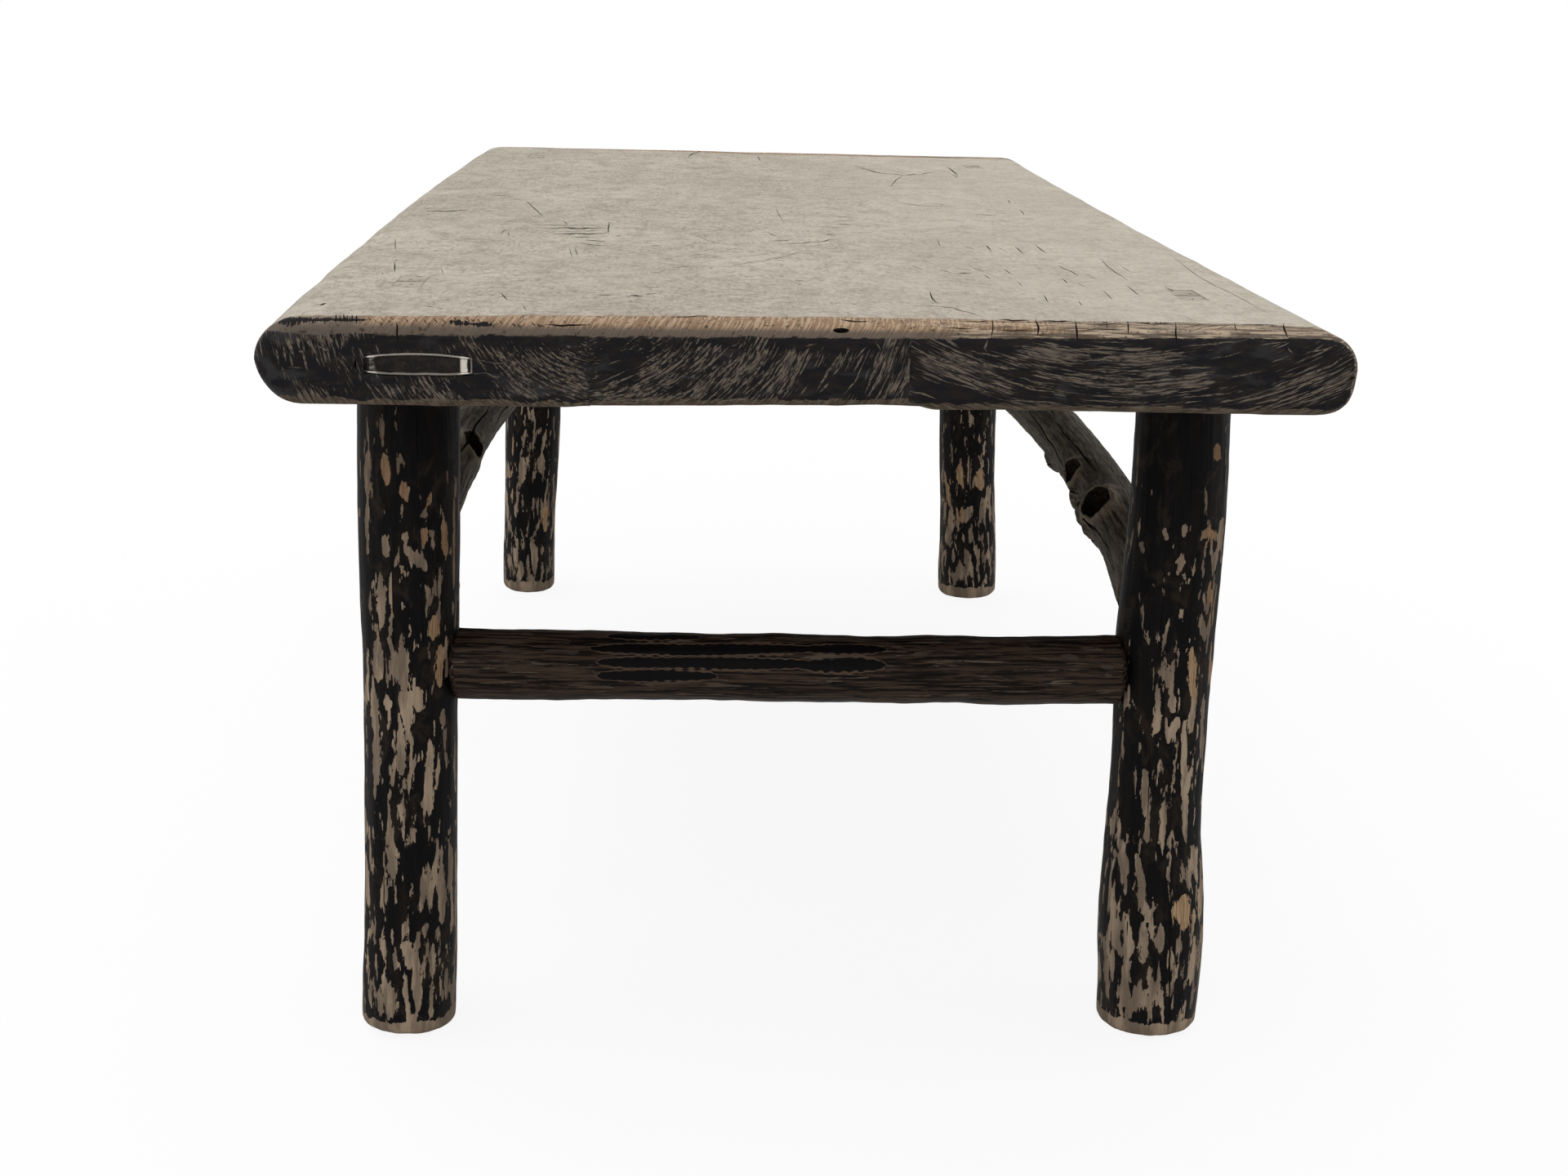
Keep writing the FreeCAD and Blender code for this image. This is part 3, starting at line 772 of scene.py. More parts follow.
def fitCircle(points):      # centre and radius, leaving out what lies off the circle
    kept = np.ones(len(points), bool)
    for trial in range(6):
        held = points[kept]
        system = np.column_stack([2 * held, np.ones(len(held))])
        x, y, rest = np.linalg.lstsq(system, (held ** 2).sum(axis=1), rcond=None)[0]
        radius = math.sqrt(rest + x * x + y * y)
        off = np.linalg.norm(points - (x, y), axis=1) - radius
        limit = max(0.0006, 1.5 * np.median(np.abs(off)))
        kept = np.abs(off) < limit
    return x, y, radius


def measureLog(name, begin, end):      # stations along the CAD log: place along, centre, radius
    along, sideAxes = logAxes(name)
    tree = surfaceTree(nodes[name])
    low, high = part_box(name)
    centre = np.array([(low[axis] + high[axis]) / 2 for axis in sideAxes])
    found = []
    for place in np.linspace(begin, end, logKinds[name.split("_")[0]][1]):
        hits = []
        for turn in np.linspace(0, 2 * math.pi, logShape["rays"], endpoint=False):
            way = np.zeros(3)
            way[sideAxes[0]], way[sideAxes[1]] = math.cos(turn), math.sin(turn)
            aim = np.zeros(3)
            aim[along] = place
            aim[sideAxes] = centre
            hit = tree.ray_cast(Vector(aim + way * 0.2), Vector(-way), 0.4)[0]
            if hit is not None:
                hits.append([hit[axis] for axis in sideAxes])
        x, y, radius = fitCircle(np.array(hits))
        centre = np.array([x, y])
        found.append((place, x, y, radius))
    return np.array(found)


def softened(values, rounds=2):      # neighbours averaged, ends kept
    values = values.copy()
    for trial in range(rounds):
        values[1:-1] = (values[:-2] + 2 * values[1:-1] + values[2:]) / 4
    return values


def logPath(name):      # the whole path, at its rings
    own, low, high = logShape, *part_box(name)
    along = logAxes(name)[0]
    side = name.split("_")[-1]
    if along == 2:
        begin, end = low.z + own["footLook"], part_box("plank_" + side)[0].z - own["clear"]
        first, last = low.z, end + own["clear"] + own["topGap"]
    else:
        legs = [f"leg_{end}_{side}" for end in ("front", "back")]
        if along == 0:
            legs = [f"leg_{side}_{hand}" for hand in ("left", "right")]
        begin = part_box(legs[0])[1][along] + own["clear"]
        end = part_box(legs[1])[0][along] - own["clear"]
        first, last = begin - own["past"], end + own["past"]
    found = measureLog(name, begin, end)
    rings = np.linspace(first, last, round((last - first) / own["ringSpacing"]) + 1)
    if along == 2:
        turns = np.linspace(0, math.pi / 2, own["footRows"])[:-1]
        foot = first + own["footRound"] * (1 - np.cos(turns))
        rings = np.concatenate([foot, rings[rings > first + own["footRound"]]])
    columns = [extended(rings, found[:, 0], softened(found[:, k])) for k in (1, 2, 3)]
    if name in legShifts:
        heights, aside, stouter = np.array(legShifts[name]).T
        columns[0] = columns[0] + np.interp(rings, heights, aside)
        columns[2] = columns[2] + np.interp(rings, heights, stouter)
    if along == 2:
        rise = np.clip(own["footRound"] - (rings - first), 0, None)
        columns[2] -= own["footRound"] - np.sqrt(own["footRound"] ** 2 - rise ** 2)
    if along == 0:
        height = columns[1].mean()
        faces = []
        for leg, sign in zip(legs, (1, -1)):
            legRings, legCentres, legRadii = paths[leg]
            faces.append(np.interp(height, legRings, legCentres[:, 0])
                         + sign * np.interp(height, legRings, legRadii))
        fromLeg = np.minimum(rings - faces[0], faces[1] - rings)
        columns[2] *= 1 - own["shoulderRound"] * (1 - smoothStep(fromLeg, -0.007, -0.001))
    return rings, np.column_stack(columns[:2]), columns[2]


def extended(places, known, values):      # smooth between the known places, straight on past them
    slopes = np.gradient(values, known)
    inside = np.clip(places, known[0], known[-1])
    index = np.clip(np.searchsorted(known, inside) - 1, 0, len(known) - 2)
    width = known[index + 1] - known[index]
    t = (inside - known[index]) / width
    curve = ((1 + 2 * t) * (1 - t) ** 2 * values[index] + t * (1 - t) ** 2 * width * slopes[index]
             + t * t * (3 - 2 * t) * values[index + 1] + t * t * (t - 1) * width * slopes[index + 1])
    return curve + (places - inside) * np.where(places < inside, slopes[0], slopes[-1])


legShifts = {      # height, how far a leg's middle lies aside of the CAD's, how much stouter it is
    "leg_front_left": [
        (0.0, -0.0006, 0.0010), (0.09, -0.0006, 0.0010), (0.2, -0.0004, 0.0008),
        (0.262, -0.0007, 0.0011), (0.345, -0.0022, 0.0005), (0.4325, -0.0027, 0.0),
    ],
    "leg_front_right": [
        (0.0, 0.0014, 0.0014), (0.09, 0.0012, 0.0012), (0.13, 0.0004, 0.0006), (0.2, 0.0013, 0.0005),
        (0.262, 0.0010, 0.0012), (0.345, 0.0026, 0.0015), (0.4325, 0.0021, 0.0006),
    ],
}
paths = {}


def makeLog(name, tree, wood):
    rings, centres, radii = logPath(name)
    along, sideAxes = logAxes(name)
    points = np.zeros((len(rings), 3))
    points[:, along] = rings
    points[:, sideAxes] = centres
    mesh = bpy.data.meshes.new(name + "_path")
    mesh.from_pydata(points.tolist(), [(i, i + 1) for i in range(len(points) - 1)], [])
    timber = newObject(name + "_wood", mesh)
    storeValues(timber, "girth", radii)
    modifier = timber.modifiers.new("roundTimber", "NODES")
    modifier.node_group = tree
    given = {"Sides": logShape["sides"], "Wood": wood, **dict(zip(grainSockets, logs[name]))}
    for item in tree.interface.items_tree:
        if item.name in given:
            modifier[item.identifier] = given[item.name]
    applyModifiers(timber)
    timber.data.name = timber.name
    paths[name] = (rings, centres, radii)
    if along == 2:
        places = getPoints(timber)
        places[:, 2] = np.clip(places[:, 2], 0.0, rings[-1])
        setPoints(timber, places)
    return timber


branchFollows = {      # least and most of the round one
    "side_branch_left": (0.85, 1.0), "side_branch_right": (0.6, 1.8),
}


def followNode(branch, name):      # the CAD branch's swellings and hollows, laid over the round one
    rings, centres, radii = paths[name]
    side = name.split("_")[-1]
    begin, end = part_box("leg_front_" + side)[1].y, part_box("leg_back_" + side)[0].y
    tree = surfaceTree(nodes[name])
    points = getPoints(branch)
    middles = np.column_stack([np.interp(points[:, 1], rings, centres[:, 0]), points[:, 1],
                               np.interp(points[:, 1], rings, centres[:, 1])])
    ways = points - middles
    radius = np.interp(points[:, 1], rings, radii)
    share = np.ones(len(points))
    for number in np.flatnonzero((points[:, 1] > begin) & (points[:, 1] < end)):
        hit = tree.ray_cast(Vector(middles[number]), Vector(ways[number]))[3]
        share[number] = hit / radius[number]
    share = np.clip(share, *branchFollows[name]).reshape(-1, logShape["sides"])
    for trial in range(2):
        share = (2 * share + np.roll(share, 1, axis=1) + np.roll(share, -1, axis=1)) / 4
        share[1:-1] = (share[:-2] + 2 * share[1:-1] + share[2:]) / 4
    setPoints(branch, middles + ways * share.reshape(-1, 1))


def logSpace(places, name):      # where each point lies across the log and along it
    rings, centres, radii = paths[name]
    along, sideAxes = logAxes(name)
    across = [places[:, axis] - np.interp(places[:, along], rings, centres[:, k])
              for k, axis in enumerate(sideAxes)]
    return np.column_stack([across[0], across[1], places[:, along]])


# Joints: every tenon is cut from the wood that it passes through, so its end is flush

tenonFit = {
    "gap": 0.00022,
    "past": 0.02,
    "slotSpare": 0.00015,     # round a tongue
    "below": 0.0001,          # of a leg's tenon, under its wedge's top
}
tenonSize = {"leg": (0.017, 0.044), "rail": (0.016, 0.030), "branch": (0.018, 0.048)}      # thick, wide
tenonParts = {}      # of a rail or branch: each tenon, and the leg that its wood is cut from


def copyOf(thing, name):
    made = thing.copy()
    made.data = thing.data.copy()
    made.name = name
    bpy.context.scene.collection.objects.link(made)
    return made


def closedCopy(name):      # a CAD node's surface as one closed mesh
    made = copyOf(nodes[name], name + "_copy")
    made.parent = None
    editMesh(made, lambda shape: bmesh.ops.remove_doubles(shape, verts=shape.verts, dist=1e-6))
    return made


def tenonBox(name, leg, kind, grow=0.0):      # the box of a rail's or branch's tenon in a leg
    along = logAxes(name)[0]
    legLow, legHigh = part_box(leg)
    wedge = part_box(leg.replace("leg", "wedge_" + kind))
    middle = [(wedge[0][axis] + wedge[1][axis]) / 2 for axis in range(3)]
    thick, tall = tenonSize[kind]
    across = 1 if along == 0 else 0
    low, high = [0.0] * 3, [0.0] * 3
    low[across], high[across] = middle[across] - thick / 2 - grow, middle[across] + thick / 2 + grow
    low[2], high[2] = middle[2] - tall / 2 - grow, middle[2] + tall / 2 + grow
    low[along] = legLow[along] - tenonFit["past"]
    high[along] = legHigh[along] + tenonFit["past"]
    return low, high


def legTenon(end, side, gap, bottom, top):      # the block of a leg's tenon in its plank
    wedgeLow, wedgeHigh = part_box(f"wedge_leg_{end}_{side}")
    x, y = (wedgeLow.x + wedgeHigh.x) / 2, (wedgeLow.y + wedgeHigh.y) / 2
    halfX, halfY = (size / 2 + gap for size in tenonSize["leg"])
    return blockObject("tenon", (x - halfX, y - halfY, bottom), (x + halfX, y + halfY, top))


# Places on the pieces, pointed at through the photo

def seenPlace(tree, across, down):      # where the camera's ray through a photo pixel meets a surface
    place, normal, face, distance = tree.ray_cast(Vector(camera["place"]), photoRay(across, down))
    return place, normal


def pixelSize(place):      # a photo pixel's size at a place
    distance = (Vector(place) - Vector(camera["place"])).dot(cameraAxes()[2])
    return distance * camera["sensor"] / camera["lens"] / camera["photoWidth"]


def markValues(points, tree, marks):      # 1 along each mark, 0.5 at its outline, 0 well outside
    values = np.zeros(len(points))
    for startAcross, startDown, endAcross, endDown, width in marks:
        start, end = seenPlace(tree, startAcross, startDown)[0], seenPlace(tree, endAcross, endDown)[0]
        if start is None or end is None:
            continue
        half = width / 2 * pixelSize(start)
        run = np.array(end - start)
        offset = points - np.array(start)
        share = np.clip(offset @ run / max(run @ run, 1e-12), 0, 1)
        distance = np.linalg.norm(offset - share[:, None] * run, axis=1)
        taper = 0.25 + 0.75 * np.sqrt(np.clip(1 - (2 * share - 1) ** 2, 0, 1))
        values = np.maximum(values, 1 - distance / (2 * half * taper))
    return values


leastSeen = 0.21      # a line across the view is widened at most this much, as 1 / share


def photoCracks(tree, lines, seed, over=0.004):      # blades: the line's points, width px, depth mm
    blades = []
    for *line, width, depth in lines:
        seed += 1
        line = np.array(line, float).reshape(-1, 2)
        length = np.linalg.norm(np.diff(line, axis=0), axis=1).sum()
        drawn = alongLine(line, np.linspace(0, 1, max(3, round(length / 3.5)) + 1))
        for axis in (0, 1):
            drift = smoothNoise(np.column_stack([drawn, drawn[:, 0] * 0]), (8, 8, 1), seed * 2 + axis)
            drift[[0, -1]] = 0
            drawn[:, axis] += drift * min(0.8, 0.45 * width)
        found = [seenPlace(tree, across, down) for across, down in drawn]
        found = [(place, normal) for place, normal in found if place is not None]
        if len(found) < 3:
            continue
        places = [place for place, normal in found]
        ways = softened(np.array([tuple(normal) for place, normal in found]), 3)
        side = (places[-1] - places[0]).cross(Vector(ways[len(ways) // 2])).normalized()
        view = (places[len(places) // 2] - Vector(camera["place"])).normalized()
        seenShare = max((side - view * side.dot(view)).length, leastSeen)
        width *= pixelSize(places[0])
        blades.append(crackBlade(places, ways, width / seenShare, depth * millimetre, over))
    return blades


# Marks and cracks on the planks, in photo pixels

topCracks = {      # each the points of a line, then its width in pixels and its depth in mm
    "plank_left": [
        (665, 279, 700, 279.5, 746, 279.5, 1.6, 3), (676, 287, 710, 286, 745, 285.5, 2.6, 4),
        (681, 283.5, 712, 283, 742, 282, 1.3, 3), (709, 298, 726, 300, 742, 301, 2, 3),
        (746.5, 272, 745, 281, 746, 291, 1.7, 4), (700, 290, 728, 291, 1.3, 3),
        (716, 294, 742, 295, 1.4, 3), (652, 275, 690, 276, 722, 275.5, 0.9, 2),
        (517, 258.5, 548, 258.5, 580, 257.6, 1.3, 2.5), (643, 245, 650, 252, 667, 266, 1.4, 2),
        (689, 270.5, 695, 275, 1.5, 2), (614, 287, 616, 282.5, 622, 280.5, 1.3, 2),
        (622, 284, 624, 289, 1, 2), (484, 291, 484, 308, 0.9, 2), (481, 320, 490, 318, 1.6, 2),
        (483.6, 321, 483.4, 333, 1.6, 3), (544, 323.5, 556, 326.5, 0.9, 1.5),
        (614, 358, 618, 363, 622, 368, 1.7, 2.5), (523, 375, 532, 376, 1.8, 2),
        (535, 377.5, 544, 378, 1.4, 2), (442, 331, 452, 333, 1.4, 1.5), (640, 373, 644, 380, 1, 1.5),
        (697, 303, 701, 316, 0.9, 1.5), (704, 302, 708, 315, 0.8, 1.5), (709, 203, 732, 206, 0.9, 2),
        (600, 240, 622, 239, 0.8, 1.5), (371, 357, 389, 352.5, 2.4, 1.5),
        (386, 372, 392, 374, 401, 371, 1.6, 1.5), (540, 327, 543, 336, 0.8, 1.2),
    ],
    "plank_middle": [
        (753, 289, 762, 289, 1.2, 2), (748, 207, 757, 206, 0.9, 2), (771, 279, 790, 280, 0.8, 1.5),
        (730, 361, 751, 361, 1, 1.5), (770, 362, 788, 362.5, 1.6, 2), (791, 361, 805, 360, 2, 2.5),
        (797, 300.5, 808, 301, 1.3, 2), (850, 287, 862, 293, 871, 296, 900, 300.5, 1, 2.5),
        (820, 329, 836, 327, 850, 326.5, 1.3, 2), (796, 335, 806, 333, 817, 331, 1.2, 2),
        (880, 327, 898, 325, 921, 321, 949, 317, 972, 311, 991, 306, 1.5, 4),
        (880, 307.5, 897, 305, 913, 303.5, 1.3, 3), (838, 314, 860, 311, 878, 309, 1, 2),
        (905, 315, 925, 313, 944, 310, 0.9, 2), (860, 320, 878, 318, 0.9, 2),
        (940, 294.5, 973, 294, 1.2, 3),
        (949, 299.5, 975, 298.5, 1000, 296, 1020, 293.5, 1034, 291.5, 2.3, 5),
        (985, 303, 1008, 300, 1026, 297, 1.1, 3), (1034, 293, 1037, 298, 1042, 304, 2.2, 4),
        (1009, 287, 1028, 287.5, 1.7, 3), (978, 290.5, 1004, 289, 0.9, 2),
        (940, 283.5, 947, 288.5, 959, 291, 1.4, 3), (950, 253, 954, 263, 959, 271, 0.7, 1.5),
        (842, 193, 849, 188, 858, 185, 2.2, 5), (976, 350, 982, 348, 1.4, 2),
        (974, 343, 986, 344, 1.3, 2), (1045, 317, 1054, 316, 1, 1.5), (928, 191, 931, 197, 1.2, 1.5),
    ],
    "plank_right": [
        (1018, 270.3, 1048, 270.5, 0.9, 2), (1022, 274.5, 1046, 275, 1, 2),
        (1017, 265, 1040, 265.5, 0.6, 1.5),
        (1044, 202, 1062, 208, 1079, 212, 1106, 214.5, 1130, 213, 1152, 209, 1.3, 3),
        (1106, 214.5, 1097, 221, 1090, 229, 1.1, 3), (1078, 207, 1100, 210, 1118, 210.5, 0.7, 2),
        (1159, 204, 1166, 209, 1173, 216, 2, 3), (1164, 213, 1172, 218, 1.4, 2),
        (1239, 201, 1258, 203, 1.3, 2), (1232, 195, 1243, 194, 1.1, 2), (1287, 223, 1296, 224, 1.3, 2),
        (1097, 248, 1130, 252, 1171, 253, 0.9, 2), (1135, 248.5, 1150, 250, 1165, 252, 1.4, 2),
        (1192, 263, 1225, 263, 1, 1.5), (1315, 237, 1330, 241, 0.8, 1.5),
        (1139, 357, 1141, 365, 1150, 372, 2, 2),
        (1114, 374, 1132, 374, 1150, 375.4, 1163, 377, 1177, 380, 1192, 384.5, 1204, 388, 1.8, 3),
        (1423, 305, 1448, 324, 1471, 341, 1488, 350, 1504, 357, 1533, 373, 1561, 388, 1, 3),
        (1346, 316, 1355, 325, 1364, 332, 1382, 344.6, 1.4, 2), (1350, 355, 1364, 368, 1.2, 2),
        (1378.6, 349, 1396, 362.5, 1.5, 2), (1423, 350, 1443, 359, 1.3, 2),
        (1295, 325, 1321, 337.5, 2, 2), (1278.6, 361, 1284, 371, 1.5, 2),
        (1321, 368, 1325, 375, 1.2, 2), (1180, 302, 1195, 305, 1.6, 1.5),
        (1201, 302, 1208, 301, 1214, 308.5, 1.7, 2), (1243, 302, 1253, 311, 1.8, 2),
        (1268, 299.5, 1282, 310, 1.8, 2), (1229, 330, 1240, 336, 1.6, 2),
        (1204, 336, 1213, 342, 1.4, 2), (1169, 328, 1189, 331, 1.6, 2), (1190, 327, 1206, 333, 1.6, 2),
        (1171, 334, 1190, 335, 1.2, 2), (1126, 317, 1141, 323, 1.1, 1.5),
        (1112, 325, 1136, 331, 0.9, 1.5), (1300, 341, 1307, 347, 1.6, 2),
        (1316, 335, 1322, 337, 1.3, 1.5), (1333, 338, 1342, 341, 1.5, 1.5),
        (1150, 330, 1166, 335, 1.5, 2), (1192, 317, 1198, 318, 1.4, 1.5),
        (1216, 324, 1228, 326, 1.4, 1.5), (1148, 294, 1151, 302, 1, 1.5),
        (1214, 287, 1220, 289, 1.2, 1.5), (1234, 245, 1237, 249, 1.3, 1.5),
        (1249, 257, 1254, 263, 1.4, 1.5), (1175, 275, 1185, 278, 0.8, 1.5),
        (1318, 347, 1330, 351, 1.4, 1.5), (1222, 303, 1231, 307, 1.2, 1.5),
        (1268, 327, 1276, 330, 1.3, 1.5), (1246, 345, 1252, 351, 1.1, 1.5),
        (1372, 325, 1386, 334, 0.9, 1.5),
    ],
}
frontCracks = {
    "plank_left": [(485, 394, 486.5, 405, 487, 419, 2.2, 3), (436, 440, 434.5, 446, 435, 453, 3.4, 3)],
    "plank_middle": [(652, 396, 690, 398, 725, 399, 3, 2)],
    "plank_right": [
        (1215, 390, 1216, 401, 1214, 414, 1.6, 3), (1268, 390, 1271, 401, 1270, 412, 2.6, 4),
        (1317, 392, 1318, 401, 1319, 420, 2.4, 4), (1381, 393, 1382, 410, 1.8, 3),
        (1439, 394, 1441, 416, 1440, 421, 2.2, 3), (1512, 395, 1514, 407, 1.5, 3),
        (1572, 396, 1574, 407, 1577, 413, 2.6, 4), (1355, 393, 1356, 403, 1.2, 2),
        (1664, 462, 1652, 464, 3.5, 3),
    ],
}
frontTicks = {      # dark strokes on the arris
    "plank_left": [
        (412, 385, 411, 396, 1.6, 0.8), (417, 386, 417, 395, 1.3, 0.8), (421, 384, 422, 396, 1.6, 0.8),
        (426, 386, 425, 397, 1.4, 0.8), (431, 385, 432, 395, 1.4, 0.8), (437, 386, 436, 397, 1.6, 0.8),
        (451, 389, 454, 393, 1, 0.6), (458, 390, 461, 395, 1, 0.6), (466, 388, 470, 393, 1.1, 0.6),
        (474, 391, 479, 396, 1, 0.6), (496, 390, 500, 396, 1.2, 0.6), (507, 388, 512, 395, 1, 0.6),
        (519, 391, 523, 397, 1.2, 0.6), (530, 389, 536, 396, 1.1, 0.6), (541, 391, 546, 397, 1.2, 0.6),
        (556, 388, 560, 395, 1.2, 0.6), (571, 389, 576, 396, 1, 0.6), (584, 390, 590, 397, 1.2, 0.6),
        (611, 392, 615, 397, 1, 0.6), (626, 395, 633, 401, 1.4, 0.7), (650, 394, 656, 399, 1.4, 0.7),
        (657, 396, 662, 401, 1.2, 0.7), (666, 397.5, 690, 398.5, 724, 398.5, 2.4, 1),
    ],
    "plank_middle": [
        (823, 389, 845, 388, 866, 386.5, 2, 1), (930, 391, 938, 390, 1.2, 0.7),
        (1030, 391, 1046, 394, 1064, 393, 2.6, 1.2), (1103, 391, 1107, 397, 1.4, 0.8),
        (1117, 391, 1127, 394, 1.6, 0.8),
    ],
    "plank_right": [
        (1150, 391, 1157, 400, 1.3, 0.8), (1176, 393, 1196, 394, 1212, 393, 1.8, 1),
        (1152, 401, 1170, 402, 1195, 402.5, 1.3, 0.8), (1222, 391, 1240, 393, 1262, 392, 2.2, 1.1),
        (1225, 404, 1243, 405, 1262, 404, 1.2, 0.7), (1276, 392, 1295, 394, 1312, 393, 2.2, 1.1),
        (1322, 397, 1348, 398, 1376, 396, 1.8, 1), (1324, 403, 1345, 403, 1374, 404, 1.3, 0.8),
        (1386, 395, 1412, 397, 1436, 396, 2, 1.1), (1390, 402, 1410, 403, 1430, 403, 1.3, 0.8),
        (1446, 403, 1462, 399, 1478, 396, 1.8, 0.9), (1455, 406, 1474, 401, 1492, 398, 1.4, 0.8),
        (1486, 404, 1500, 399, 1510, 397, 1.4, 0.8), (1520, 398, 1545, 397, 1566, 399, 1.5, 0.8),
        (1590, 403, 1612, 401, 1632, 402, 2, 0.9), (1524, 405, 1545, 404, 1560, 405, 1.2, 0.7),
    ],
}
